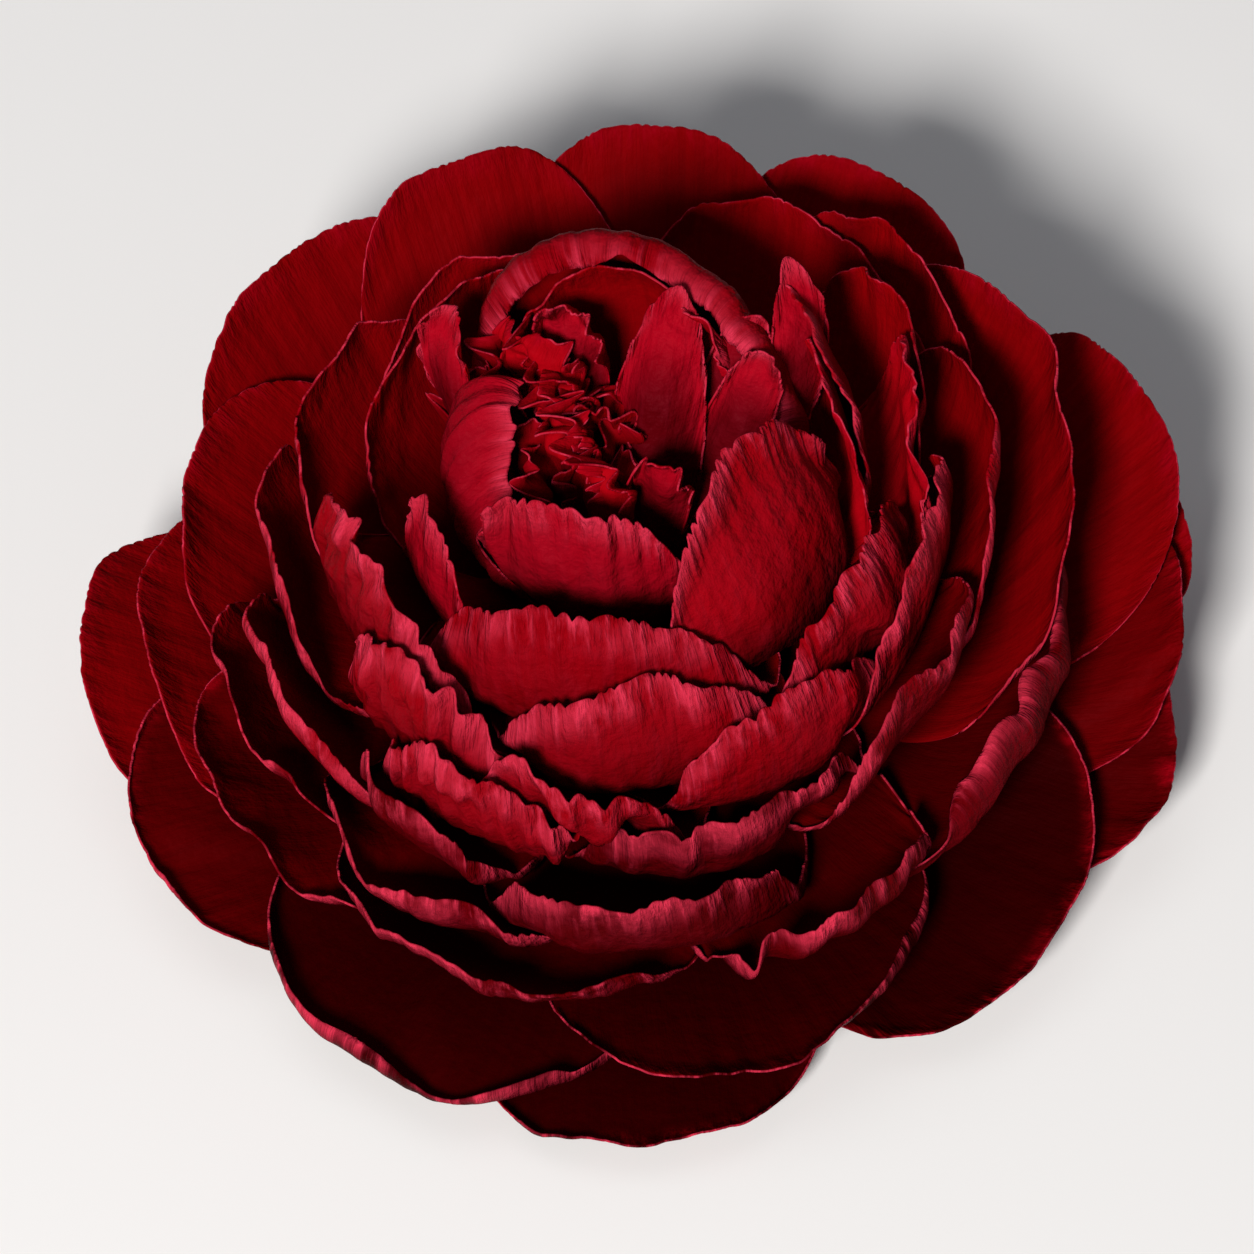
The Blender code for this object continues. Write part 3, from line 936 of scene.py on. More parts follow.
@dataclass
class Blade:
    """A petal as a strip of its shell: first a plain sheet like its solid, then the frilled one.

    claw is its width where it leaves the dome, and tip_width how much of its width it has at its tip;
    within crowding of the dome its shell passes from the base's, where the claws crowd, to the blade's.
    """

    name: str
    petal: Petal
    whorl: Whorl
    number: int
    shells: Shells
    claw: float = 4.4 * MM
    tip_width: float = 0.78
    crowding: float = 44.0 * MM
    least_out: float = 3.0 * MM
    margin_from: float = 0.88
    margin_steps: int = 801
    plain_grid: tuple[int, int] = (71, 61)
    tooth_depth: float = 9.0 * MM
    crease_width: float = 0.09
    least_roll: float = 0.02
    least_room: float = 0.01 * MM
    seed_step: int = 97
    bearing: float = field(init=False)
    length: float = field(init=False)
    tip_shell: float = field(init=False)
    base_shell: float = field(init=False, default=0.0)
    guide: Points = field(init=False)
    plain: Points = field(init=False)
    sheet: Points = field(init=False)
    margin: Margin = field(init=False)

    def __post_init__(self) -> None:
        """Solves for the shell and the length that take the tip to its place."""
        bearing, reach = math.radians(self.petal.bearing), self.petal.reach * MM
        tip = self.shells.upright(
            np.array([reach * math.cos(bearing), reach * math.sin(bearing), self.petal.rise * MM]))
        self.bearing = math.atan2(tip[1], tip[0])
        self.tip_shell, self.length = self.shells.reach_for(math.hypot(tip[0], tip[1]), tip[2])
        self.margin = self.trace_margin()

    @property
    def seed(self) -> int:
        """The number that picks the petal's own irregular waves."""
        return self.seed_step * self.number

    @property
    def frill(self) -> Frill:
        """The whorl's frill with the petal's own values."""
        return replace(self.whorl.frill, **self.petal.frill)

    def half_width(self, along: Points) -> Points:
        """Works out half of the plain blade's width.

        Args:
            along: From 0 at the claw to 1 at the tip.

        Returns:
            Half of the width, in metres.
        """
        claw, blade = self.claw / 2, self.petal.width * MM / 2
        opened = np.clip(along / self.whorl.widest, 0, 1)
        closing = np.clip((along - self.whorl.widest) / (1 - self.whorl.widest), 0, 1)
        width = claw + (blade - claw) * np.sin(math.pi / 2 * opened) ** self.whorl.fill
        return width * (1 - (1 - self.tip_width) * closing**2)

    def stretch(self, across: Points, along: Points) -> Points:
        """How much of its length a plain blade has at a place, for its rounded corners and its skew."""
        return 1 - self.petal.dome * np.abs(across) ** 2.2 * along**2 + self.petal.skew * across * along**1.5

    def bearing_at(self, sideways: Points, distance: Points, shell: Points) -> Points:
        """The bearing of places to the side of the petal's middle line, in radians."""
        out, _ = self.shells.point(shell, distance)
        return self.bearing + sideways / np.maximum(out, self.least_out)

    def lay_plain(self, pile: Pile, layers: Layers) -> None:
        """Lays the plain sheet and keeps the shell at each of its points.

        Args:
            pile: The pile of plain sheets.
            layers: Where each plain sheet is kept.
        """
        across, along = np.meshgrid(
            np.linspace(-1, 1, self.plain_grid[0]), np.linspace(0, 1, self.plain_grid[1]), indexing="ij")
        distance = self.length * along * self.stretch(across, along)
        sideways = across * self.half_width(along)
        tuck = self.petal.tuck * MM
        blade_shell = self.tip_shell - tuck / float(self.shells.spacing(self.tip_shell, self.length))
        crowding = np.clip(distance / self.crowding, 0, 1)
        freed = crowding**2 * (3 - 2 * crowding)
        self.guide = blade_shell + (self.base_shell - blade_shell) * (1 - freed)
        flare = self.petal.flare * MM
        lift = 4 * tuck * np.clip(along - 0.5, 0, 1) ** 2 + flare * np.abs(across) ** 3 * along**2
        bearing = self.bearing_at(sideways, distance, self.guide)
        spacing = self.shells.spacing(self.guide, distance)
        self.plain = pile.add(distance, bearing, self.guide + lift / spacing, spacing)
        self.sheet = self.shells.place(self.plain, distance, bearing)
        layers.add(distance, bearing, self.plain)

    def read_plain(self, values: Points, sideways: Points, distance: Points) -> Points:
        """Reads a value of the plain sheet at other places of the same petal.

        Args:
            values: The value at each point of the plain sheet.
            sideways: Metres to the side of the middle line.
            distance: Metres along the shell.

        Returns:
            The value at each place.
        """
        along = np.clip(distance / self.length, 0, 1)
        for _ in range(8):
            across = np.clip(sideways / self.half_width(along), -1, 1)
            along = np.clip(distance / (self.length * self.stretch(across, along)), 0, 1)
        last_aside, last_along = (size - 1 for size in values.shape)
        aside = np.clip((across + 1) / 2 * last_aside, 0, last_aside - 0.001)
        return between(values, aside, np.clip(along * last_along, 0, last_along - 0.001))

    def trace_margin(self) -> Margin:
        """Traces the blade's margin, from its widest point round the tip to the other side.

        Returns:
            Metres sideways, metres along the shell and metres along the margin.
        """
        petal, half = self.petal, self.petal.width * MM / 2
        length = self.length + self.frill.longer * MM
        widest = self.length * self.whorl.widest * self.margin_from
        square = 2.0 + 6.0 * max(0.2 - petal.dome, 0.0)
        turn = np.linspace(-math.pi / 2, math.pi / 2, self.margin_steps)
        side = half * np.sign(turn) * np.abs(np.sin(turn)) ** (2 / square)
        tip = widest + (length - widest) * np.cos(turn) ** (2 / square)
        return measured(side, tip * (1 + petal.skew * side / half))

    def cut_margin(self, place: Points, inset: Points) -> tuple[Points, Points, Points]:
        """Cuts teeth and lobes into the margin.

        Args:
            place: Metres along the margin.
            inset: Metres from it.

        Returns:
            How far each place is drawn back, the phase of its tooth and how high its tooth is.
        """
        frill, tooth = self.frill, self.frill.tooth_length * MM
        phase = math.pi * (place / tooth + 0.5 * ripple(place, 4 * tooth, self.seed + 1))
        uneven = np.clip(0.8 + 0.35 * ripple(place, 6 * tooth, self.seed + 2), 0.35, 1.3)
        back = frill.tooth * MM * (1 - np.abs(np.sin(phase))) ** 1.3 * uneven
        lobes = ripple(place, frill.lobe_length * MM, self.seed + 3)
        back += frill.lobe * MM * 0.5 * np.maximum(1 + lobes, 0)
        return back * fading(inset, self.tooth_depth) ** 2, phase, uneven

    def roll_margin(self, across: Points, place: Points, inset: Points) -> tuple[Points, Points]:
        """Rolls a band along the margin over.

        Args:
            across: Shares of the margin's length, from 0 at one side to 1 at the other.
            place: Metres along the margin.
            inset: Metres from it.

        Returns:
            How far each place is drawn back and how far it is lifted.
        """
        frill, band = self.frill, self.frill.roll_band * MM
        loose = ripple(place, 1.6 * frill.ruffle_length * MM, self.seed + 4)
        angle = np.radians(frill.roll) * (1 + 0.3 * loose)
        sidewise = np.clip(across if frill.side_roll > 0 else 1 - across, 0, 1)
        angle += np.radians(abs(frill.side_roll)) * np.clip((sidewise - 0.45) / 0.3, 0, 1) ** 2
        angle = np.where(np.abs(angle) < self.least_roll, self.least_roll, angle)
        curl, turn = np.clip(band - inset, 0, None), band / angle
        return curl - turn * np.sin(curl / turn), turn * (1 - np.cos(curl / turn))

    def frilled(self, across: Points, along: Points, rooms: tuple[Points, Points], layers: Layers) -> Grown:
        """The frilled blade at places given from claw to margin.

        Args:
            across: Shares of the margin's length, from 0 at one side to 1 at the other.
            along: Shares of the way from the claw to the margin.
            rooms: The room inwards and outwards, cell by cell.
            layers: The layers that read the rooms.

        Returns:
            The points, each one's metres from the margin, and its metres across and along for the veins.
        """
        frill, seed = self.frill, self.seed
        place, side, tip = at_margin(self.margin, across)
        radius = np.hypot(side, tip)
        inset = (1 - along) * radius
        back, phase, uneven = self.cut_margin(place, inset)
        rolled_back, lift = self.roll_margin(across, place, inset)
        freed = fading(inset, frill.ruffle_depth * MM) ** 1.5
        fan = np.exp(-((inset / (frill.pleat_depth * MM)) ** 2))
        lift += frill.ruffle * MM * ripple(place, frill.ruffle_length * MM, seed + 5) * freed
        lift -= frill.crimp * MM * np.cos(2 * phase) * uneven * np.exp(-inset / (frill.crimp_depth * MM))
        lift += frill.pleat * MM * ripple(place, frill.pleat_length * MM, seed + 6) * fan
        reach = np.clip(along - (back + rolled_back) / radius, 0, 1)
        opened = np.sin(math.pi / 2 * reach) ** self.whorl.fill
        claw = self.claw / 2 * side / (self.petal.width * MM / 2)
        sideways = claw * (1 - opened) + side * opened
        distance = tip * reach
        lift += frill.wave * MM * swell(sideways, distance, frill.wave_length * MM, seed + 7) * reach**1.5
        lift += frill.rugose * MM * swell(sideways, distance, frill.rugose_length * MM, seed + 8) * reach**3
        lift -= frill.crease * MM * np.exp(-np.abs(across - frill.crease_at) / self.crease_width) * reach**2
        guide, shell = (self.read_plain(values, sideways, distance) for values in (self.guide, self.plain))
        bearing = self.bearing_at(sideways, distance, guide)
        inner, outer = (np.maximum(layers.read(room, distance, bearing), self.least_room) for room in rooms)
        inner = inner * frill.free
        lift = np.where(lift > 0, inner * np.tanh(lift / inner), outer * np.tanh(lift / outer))
        points = self.shells.place(shell, distance, bearing, lift)
        return {"points": points, "inset": inset, "across": place, "along": distance}


@dataclass
class Corolla:
    """All the petals of the bloom."""

    shells: Shells = field(default_factory=Shells)
    layers: Layers = field(default_factory=Layers)
    thickness: float = 0.28 * MM
    innermost_base: float = 0.93
    gap: float = 0.45 * MM
    blades: list[Blade] = field(init=False, default_factory=list)

    def grow(self) -> None:
        """Solves for every petal and lays the plain sheets, from the outermost to the innermost."""
        groups = ((GUARD, GUARD_PETALS), (MIDDLE, MIDDLE_PETALS), (BALL, BALL_PETALS), (HEART, HEART_PETALS))
        for whorl, petals in groups:
            for number, petal in enumerate(petals, start=1):
                name = f"{whorl.name}_{number:02d}"
                self.blades.append(Blade(name, petal, whorl, len(self.blades) + 1, self.shells))
        self.blades.sort(key=lambda blade: blade.tip_shell - blade.petal.early)
        pile = Pile()
        for place, blade in enumerate(self.blades):
            blade.base_shell = self.innermost_base * place / (len(self.blades) - 1)
            blade.lay_plain(pile, self.layers)

    def seat(self) -> Points:
        """Works out where the bloom stands in the frame, from the boxes of the petals' solids.

        Returns:
            The move from the bloom's own space to the frame.
        """
        moves = []
        for blade in self.blades:
            low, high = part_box(blade.name)
            points = blade.sheet.reshape(-1, 3)
            moves.append((np.array(low) + np.array(high) - points.min(axis=0) - points.max(axis=0)) / 2)
        return np.median(moves, axis=0)

    def build(self, finishes: dict[Slot, list[Material]]) -> Points:
        """Models and dresses every petal.

        Args:
            finishes: The three materials of a petal, by slot.

        Returns:
            The move from the bloom's own space to the frame.
        """
        self.grow()
        seat = self.seat()
        for place, blade in enumerate(self.blades):
            rooms = self.layers.rooms(place, self.shells, self.gap)
            form = partial(blade.frilled, rooms=rooms, layers=self.layers)
            length, tone = blade.margin[2][-1], blade.petal.tone
            piece = model_petal(blade.name + "_frilled", form, length, blade.number, seat, tone)
            dress_petal(piece, finishes[blade.whorl.slot], self.thickness)
            enter(piece, blade.name)
        return seat


@dataclass(frozen=True)
class Petaloid:
    """A small free petal of the heart: where its tip stands and which way its face looks.

    Lengths are in millimetres from the bloom's axis and foot, facing is in degrees. back is how far
    the blade leans away from where it faces; curl turns its tip forwards; cup is the radius across it;
    taper is how pointed it is; tone is how much of its colour shows over the deep colour and
    painted shade of its claw, above 1 where it is painted lit.
    """

    x: float
    y: float
    rise: float
    width: float
    facing: float
    back: float = 2.0
    crumple: float = 1.2
    curl: float = 1.0
    cup: float = 9.0
    taper: float = 0.25
    tone: float = 1.0


# Most of these have tone above 1, which paints them lit nearly down to their claws.
PETALOIDS = (
    Petaloid(6.0, 22.6, 68, 14, 256, back=20, crumple=0.5, cup=5, taper=0.85, tone=1.7),
    Petaloid(15.6, 20.0, 66, 9, 250, back=8, crumple=0.5, cup=5, taper=0.5, tone=0.9),
    Petaloid(17.0, 14.0, 66, 9.5, 245, back=7, crumple=0.5, cup=5, taper=0.6, tone=1.6),
    Petaloid(-22.5, 21.5, 65, 12, 222, back=14, crumple=0.6, cup=6, taper=0.9, tone=1.5),
    Petaloid(19.5, 26.5, 68.5, 11, 293, back=21, crumple=0.4, cup=6, taper=0.8, tone=1.7),
    Petaloid(-8.0, 23.0, 64.5, 9, 250, back=4, crumple=1.5, curl=3.5, cup=8, tone=1.6),
    Petaloid(3.6, -0.6, 61.5, 8, 245, crumple=0.9, cup=4, taper=0.35, tone=1.2),
)


@dataclass
class Heart:
    """The crumpled petaloids in the bloom's middle. The ridge's ends are in millimetres."""

    foot: Place = (-0.5 * MM, 0.7 * MM, 17.0 * MM)
    shoulder: float = 6.0 * MM
    claw: float = 1.2 * MM
    thickness: float = 0.25 * MM
    crumple_length: float = 5.5 * MM
    tooth_length: float = 2.4 * MM
    tooth: float = 0.5 * MM
    tooth_depth: float = 6.0 * MM
    lobe: float = 0.6 * MM
    lobe_length: float = 6.0 * MM
    crimp: float = 0.2 * MM
    ruffle: float = 0.8 * MM
    ruffle_length: float = 5.0 * MM
    ruffle_depth: float = 5.0 * MM
    margin_steps: int = 401
    first_number: int = 60
    seed_step: int = 31
    ridge: tuple[Place, Place] = ((-15.5, 19.5, 63.5), (-5.5, 0.5, 60.0))
    on_ridge: int = 9
    beside: int = 10
    seed: int = 5

    def tuft(self) -> list[Petaloid]:
        """Scatters the small crumpled petaloids: some stand along a ridge, painted lit, and the others are
        sunk beside it, painted in shade.

        Returns:
            The petaloids.
        """
        pick = np.random.default_rng(self.seed)
        first, last = (np.array(end) for end in self.ridge)
        petaloids = []
        for number in range(self.on_ridge + self.beside):
            x, y, rise = first + (last - first) * pick.uniform(0, 1)
            facing = pick.uniform(170, 330)
            # Petaloids sunk beside the ridge are painted in shade, and those on it are painted lit.
            tone = 0.4
            if number < self.on_ridge:
                facing = pick.uniform(190, 240)
                x, y, rise = first + (last - first) * number / (self.on_ridge - 1)
                x, rise = x + pick.uniform(-1.5, 1.5), rise + pick.uniform(-1.5, 0.5)
                tone = 1.6
            else:
                away = pick.uniform(3.5, 9.0)
                x, y = x + (away if number % 3 else -0.8 * away), y + pick.uniform(-1, 2)
                rise = rise - 1.5 - 0.55 * away
            petaloids.append(Petaloid(
                x, y, rise, pick.uniform(8, 12), facing, back=pick.uniform(-1, 4),
                crumple=pick.uniform(1.3, 2.0), curl=pick.uniform(-1, 3), cup=pick.uniform(3, 7),
                taper=pick.uniform(0.15, 0.4), tone=tone))
        return petaloids

    def margin(self, petaloid: Petaloid) -> Margin:
        """Traces a petaloid's margin.

        Args:
            petaloid: The petaloid.

        Returns:
            Metres sideways, metres up from its foot and metres along the margin.
        """
        turn = np.linspace(-math.pi / 2, math.pi / 2, self.margin_steps)
        side = petaloid.width * MM / 2 * np.sin(turn)
        top = (petaloid.rise * MM - self.foot[2]) * (1 - petaloid.taper * (1 - np.cos(turn) ** 0.8))
        return measured(side, top)

    def crumpled(self, across: Points, along: Points, petaloid: Petaloid, seed: int) -> Grown:
        """A petaloid at places given from claw to margin.

        Args:
            across: Shares of the margin's length, from 0 at one side to 1 at the other.
            along: Shares of the way from the claw to the margin.
            petaloid: The petaloid.
            seed: Gives it folds of its own.

        Returns:
            The points, each one's metres from the margin, and its metres across and along for the veins.
        """
        place, side, top = at_margin(self.margin(petaloid), across)
        radius = np.hypot(side, top)
        inset = (1 - along) * radius
        phase = math.pi * (place / self.tooth_length + 0.6 * ripple(place, 8 * MM, seed + 1))
        lobes = np.maximum(1 + ripple(place, self.lobe_length, seed + 2), 0)
        back = self.tooth * (1 - np.abs(np.sin(phase))) + self.lobe * lobes
        share = np.clip(along - back * fading(inset, self.tooth_depth) ** 2 / radius, 0, 1)
        sideways = side * np.sin(math.pi / 2 * share) ** 1.4 + self.claw * np.sign(side) * (1 - share)
        height = top * share
        near = np.exp(-inset / self.ruffle_depth)
        lift = petaloid.crumple * MM * swell(sideways, height, self.crumple_length, seed + 3) * share**2
        lift += self.ruffle * petaloid.crumple * ripple(place, self.ruffle_length, seed + 4) * near
        lift += self.crimp * np.cos(2 * phase) * near + petaloid.curl * MM * near**2
        lift -= sideways**2 / (2 * petaloid.cup * MM)
        points = self.stand(petaloid, sideways, height, lift)
        return {"points": points, "inset": inset, "across": place, "along": height}

    def stand(self, petaloid: Petaloid, sideways: Points, height: Points, lift: Points) -> Points:
        """Stands a petaloid on its foot, bent over its knee to its tip.

        Args:
            petaloid: The petaloid.
            sideways: Metres to the side of its middle line.
            height: Metres up from its foot, along it.
            lift: Metres off its face.

        Returns:
            The points, XYZ last.
        """
        facing = math.radians(petaloid.facing)
        forwards = np.array([math.cos(facing), math.sin(facing), 0.0])
        aside = np.array([-math.sin(facing), math.cos(facing), 0.0])
        foot, tip = np.array(self.foot), np.array([petaloid.x, petaloid.y, petaloid.rise]) * MM
        knee = tip + forwards * petaloid.back * MM - np.array([0, 0, self.shoulder])
        level = (height / (petaloid.rise * MM - foot[2]))[:, None]
        middle = (1 - level) ** 2 * foot + 2 * level * (1 - level) * knee + level**2 * tip
        way = (1 - level) * (knee - foot) + level * (tip - knee)
        way /= np.linalg.norm(way, axis=-1, keepdims=True)
        return middle + sideways[:, None] * aside + lift[:, None] * np.cross(aside, way)

    def build(self, finishes: list[Material], seat: Points) -> None:
        """Models and dresses the petaloids.

        Args:
            finishes: The three materials of a petal.
            seat: The move from the bloom's own space to the frame.
        """
        inner, outer, rim = finishes
        for number, petaloid in enumerate((*PETALOIDS, *self.tuft()), start=1):
            form = partial(self.crumpled, petaloid=petaloid, seed=self.seed_step * number)
            length = 1.5 * self.margin(petaloid)[2][-1]
            name = f"petaloid_{number:02d}"
            piece = model_petal(name, form, length, self.first_number + number, seat, petaloid.tone)
            dress_petal(piece, [inner, outer if petaloid in PETALOIDS else inner, rim], self.thickness)
            enter(piece)


# ---- petals as meshes

COLUMN_WIDTH = 1.6 * MM
FEWEST_COLUMNS, MOST_COLUMNS = 16, 64
ROWS = 16
# The rows are halved beyond each of these, and the rows at the grid's ends and at these go to ROW_SHARES.
FINER_FROM = (0.625, 0.875)
ROW_SHARES = (0.0, 0.70, 0.91, 1.0)
UV_UNIT = 100 * MM
INSET_UNIT = 20 * MM
# How far apart in the noise two petals' veins are read.
PETAL_STEP = 3.7


def read_places(mesh: bpy.types.Mesh) -> Points:
    """Reads where a mesh's vertices are.

    Args:
        mesh: The mesh.

    Returns:
        The places, XYZ last.
    """
    flat = np.empty(3 * len(mesh.vertices))
    mesh.vertices.foreach_get("co", flat)
    return flat.reshape(-1, 3)


def model_petal(
    name: str, form: Callable[..., Grown], length: float, number: int, seat: Points, tone: float
) -> Piece:
    """Models a petal as a grid, finer towards its margin, taken to the petal's form.

    Args:
        name: The piece's name.
        form: Gives the petal's points at shares across and along it.
        length: Metres along its margin.
        number: The petal's number, which gives it veins of its own.
        seat: The move to the frame.
        tone: How much of its full colour the petal shows over the painted shade of its claw.

    Returns:
        The sheet, one face thick.
    """
    begin()
    columns = int(np.clip(length / COLUMN_WIDTH, FEWEST_COLUMNS, MOST_COLUMNS))
    bpy.ops.mesh.primitive_grid_add(x_subdivisions=columns, y_subdivisions=ROWS, size=1, calc_uvs=True)
    piece = bpy.context.object
    piece.name = name
    mesh = piece.data
    for start in FINER_FROM:
        select_beyond(mesh, start - 0.5)
        bpy.ops.object.mode_set(mode="EDIT")
        bpy.ops.mesh.subdivide(number_cuts=1)
        bpy.ops.object.mode_set(mode="OBJECT")
    flat = read_places(mesh)
    along = np.interp(flat[:, 1] + 0.5, (0, *FINER_FROM, 1), ROW_SHARES)
    grown = form(0.5 - flat[:, 0], along)
    mesh.vertices.foreach_set("co", (grown["points"] + seat).ravel())
    corners = np.empty(len(mesh.loops), dtype=int)
    mesh.loops.foreach_get("vertex_index", corners)
    lay = np.stack([grown["across"], grown["along"]], axis=-1)[corners] / UV_UNIT
    mesh.uv_layers[0].data.foreach_set("uv", lay.ravel())
    marks = {
        "inset": np.minimum(grown["inset"] / INSET_UNIT, 1),
        "petal": np.full(len(flat), PETAL_STEP * number),
        "share": along,
        "tone": np.full(len(flat), tone),
    }
    for key, values in marks.items():
        mesh.attributes.new(key, "FLOAT", "POINT").data.foreach_set("value", values.astype(np.float32))
    bpy.ops.object.shade_smooth()
    return piece


def dress_petal(piece: Piece, finishes: list[Material], thickness: float) -> None:
    """Gives a petal its materials and its thickness.

    Args:
        piece: The sheet.
        finishes: Its inner, outer and rim materials.
        thickness: Metres through the petal.
    """
    for material in finishes:
        piece.data.materials.append(material)
    apply_modifier(
        piece, "SOLIDIFY", thickness=thickness, offset=0.0,
        material_offset=Face.OUTER.value, material_offset_rim=Face.RIM.value)


def select_beyond(mesh: bpy.types.Mesh, height: float) -> None:
    """Selects the faces of a flat grid that lie beyond a line across it, and nothing else.

    Args:
        mesh: The grid.
        height: Where the line runs, on Y.
    """
    middles = np.empty(3 * len(mesh.polygons))
    mesh.polygons.foreach_get("center", middles)
    for parts in (mesh.vertices, mesh.edges):
        parts.foreach_set("select", np.zeros(len(parts), dtype=bool))
    mesh.polygons.foreach_set("select", middles.reshape(-1, 3)[:, 1] > height)
    mesh.update()


# ---- calyx and stem


@dataclass
class Receptacle:
    """The green dome that carries the petals, its collar and the cut stub of stem."""

    shells: Shells
    seat: Points
    segments: int = 64
    inset: float = 0.3 * MM
    stub_radius: float = 3.6 * MM
    stub_height: float = 1.0 * MM
    collar_radius: float = 8.2 * MM
    collar_slope: Pair = (1.0 * MM, 0.4 * MM)
    collar: Pair = (2.5 * MM, 3.8 * MM)
    rings: int = 12
    smooth_angle: float = 40.0

    def profile(self) -> list[Pair]:
        """Works out the outline from the cut to the top.

        Returns:
            Distances from the axis and heights.
        """
        (low, high), (slope_out, slope_up) = self.collar, self.collar_slope
        steps = [(self.stub_radius, 0.0), (self.stub_radius, self.stub_height)]
        steps += [(self.collar_radius - slope_out, low), (self.collar_radius, low + slope_up)]
        steps.append((self.collar_radius, high))
        top = (90.0 - self.shells.rim_angle) / self.shells.top_angle
        for ring in range(self.rings):
            out, up = self.shells.start(top * ring / self.rings, self.inset)
            steps.append((float(out), float(up)))
        return steps

    def raise_walls(self, steps: list[Pair], foot: Vector) -> None:
        """Extrudes the selected cut face along the outline, leaning with the bloom, and closes the top.

        Args:
            steps: The outline.
            foot: Where the cut face's middle is.
        """
        lean_x, lean_y = self.shells.crown_lean
        lean = 0.0
        for (out, up), (next_out, next_up) in zip(steps, steps[1:]):
            share = (next_up / self.shells.crown_height) ** 2 * min(next_up / self.shells.dome_base, 1.0)
            move = (lean_x * (share - lean), lean_y * (share - lean), next_up - up)
            lean = share
            bpy.ops.mesh.extrude_region_move(TRANSFORM_OT_translate={"value": move})
            centre = foot + Vector((lean_x * share, lean_y * share, next_up))
            size = next_out / out
            bpy.ops.transform.resize(value=(size, size, 1), center_override=tuple(centre))
        rest = self.shells.dome_base + self.shells.dome_height - self.inset - steps[-1][1]
        bpy.ops.mesh.extrude_region_move(TRANSFORM_OT_translate={"value": (0, 0, rest)})
        bpy.ops.mesh.merge(type="CENTER")

    def build(self, material: Material) -> None:
        """Models the piece ring by ring from its cut face, and dresses it.

        Args:
            material: Its finish.
        """
        begin()
        foot = Vector(self.seat)
        bpy.ops.mesh.primitive_circle_add(
            vertices=self.segments, radius=self.stub_radius, fill_type="NGON", location=tuple(foot))
        piece = bpy.context.object
        piece.name = "receptacle_dome"
        bpy.ops.object.transform_apply(location=True, rotation=False, scale=False)
        bpy.ops.object.mode_set(mode="EDIT")
        self.raise_walls(self.profile(), foot)
        bpy.ops.mesh.select_all(action="SELECT")
        bpy.ops.mesh.normals_make_consistent(inside=False)
        bpy.ops.object.mode_set(mode="OBJECT")
        bpy.ops.object.shade_smooth_by_angle(angle=math.radians(self.smooth_angle))
        piece.data.materials.append(material)
        enter(piece, "receptacle_and_stem")


@dataclass
class Calyx:
    """The three spread sepals that the bloom rests on."""

    seat: Points
    bearings: tuple[float, ...] = (90.0, 210.0, 330.0)
    collar: float = 8.5 * MM
    reach: float = 24.8 * MM
    width: float = 17.0 * MM
    base_width: float = 9.0 * MM
    belly: float = 0.8 * MM
    fullness: float = 0.8
    fall: float = 2.5 * MM
    fall_power: float = 1.5
    flat: Pair = (12.5 * MM, 21.5 * MM)
    tip_rise: float = 0.8 * MM
    thickness: float = 0.9 * MM
    rounding: float = 0.3 * MM
    vein: float = 0.06 * MM
    uneven: float = 0.03
    uneven_length: float = 5.0 * MM
    grid: tuple[int, int] = (18, 20)
    smooth_angle: float = 50.0

    def lay(self, across: Points, along: Points, bearing: float, seed: int) -> Points:
        """The underside of a sepal at places on it.

        Args:
            across: From -1 at one side to 1 at the other.
            along: From 0 at the collar to 1 at the tip.
            bearing: Radians around the axis.
            seed: Gives it a margin of its own.

        Returns:
            The points, XYZ last.
        """
        base = self.base_width / 2
        oval = np.sin(math.pi * np.clip(along, 0, 1) ** self.fullness) ** self.fullness
        half = base * (1 - along) + (self.width / 2 - base / 2) * oval + self.belly
        half = half * (1 + self.uneven * ripple(along * self.reach, self.uneven_length, seed))
        aside = -half * across
        out = self.collar + (self.reach - self.collar) * along
        out = np.where(along <= 0, np.sqrt(np.maximum(self.collar**2 - aside**2, 0)), out)
        falling = np.clip((self.flat[0] - out) / (self.flat[0] - self.collar), 0, 1)
        rising = np.clip((out - self.flat[1]) / (self.reach - self.flat[1]), 0, 1)
        up = self.fall * falling**self.fall_power + self.tip_rise * rising
        up = up + self.vein * np.abs(np.sin(1.5 * math.pi * across)) * np.sin(math.pi * along)
        cosine, sine = math.cos(bearing), math.sin(bearing)
        return np.stack([out * cosine - aside * sine, out * sine + aside * cosine, up], axis=-1)

    def build(self, material: Material) -> None:
        """Models each sepal from a grid, thickens it, rounds its edge and dresses it.

        Args:
            material: Their finish.
        """
        columns, rows = self.grid
        angle = math.radians(self.smooth_angle)
        for number, degrees in enumerate(self.bearings, start=1):
            name = f"sepal_{number}"
            begin()
            bpy.ops.mesh.primitive_grid_add(x_subdivisions=columns, y_subdivisions=rows, size=2)
            piece = bpy.context.object
            piece.name = name + "_blade"
            flat = read_places(piece.data)
            laid = self.lay(flat[:, 0], (flat[:, 1] + 1) / 2, math.radians(degrees), number)
            piece.data.vertices.foreach_set("co", (laid + self.seat).ravel())
            apply_modifier(piece, "SOLIDIFY", thickness=self.thickness, offset=1.0)
            apply_modifier(
                piece, "BEVEL", width=self.rounding, segments=3, limit_method="ANGLE", angle_limit=angle)
            bpy.ops.object.shade_smooth_by_angle(angle=angle)
            piece.data.materials.append(material)
            enter(piece, name)


# ---- the studio


@dataclass(frozen=True)
class Lamp:
    """A soft square light: its place around the bloom in degrees and metres, its width, watts and colour."""

    name: str
    bearing: float
    elevation: float
    distance: float
    size: float
    power: float
    colour: Colour


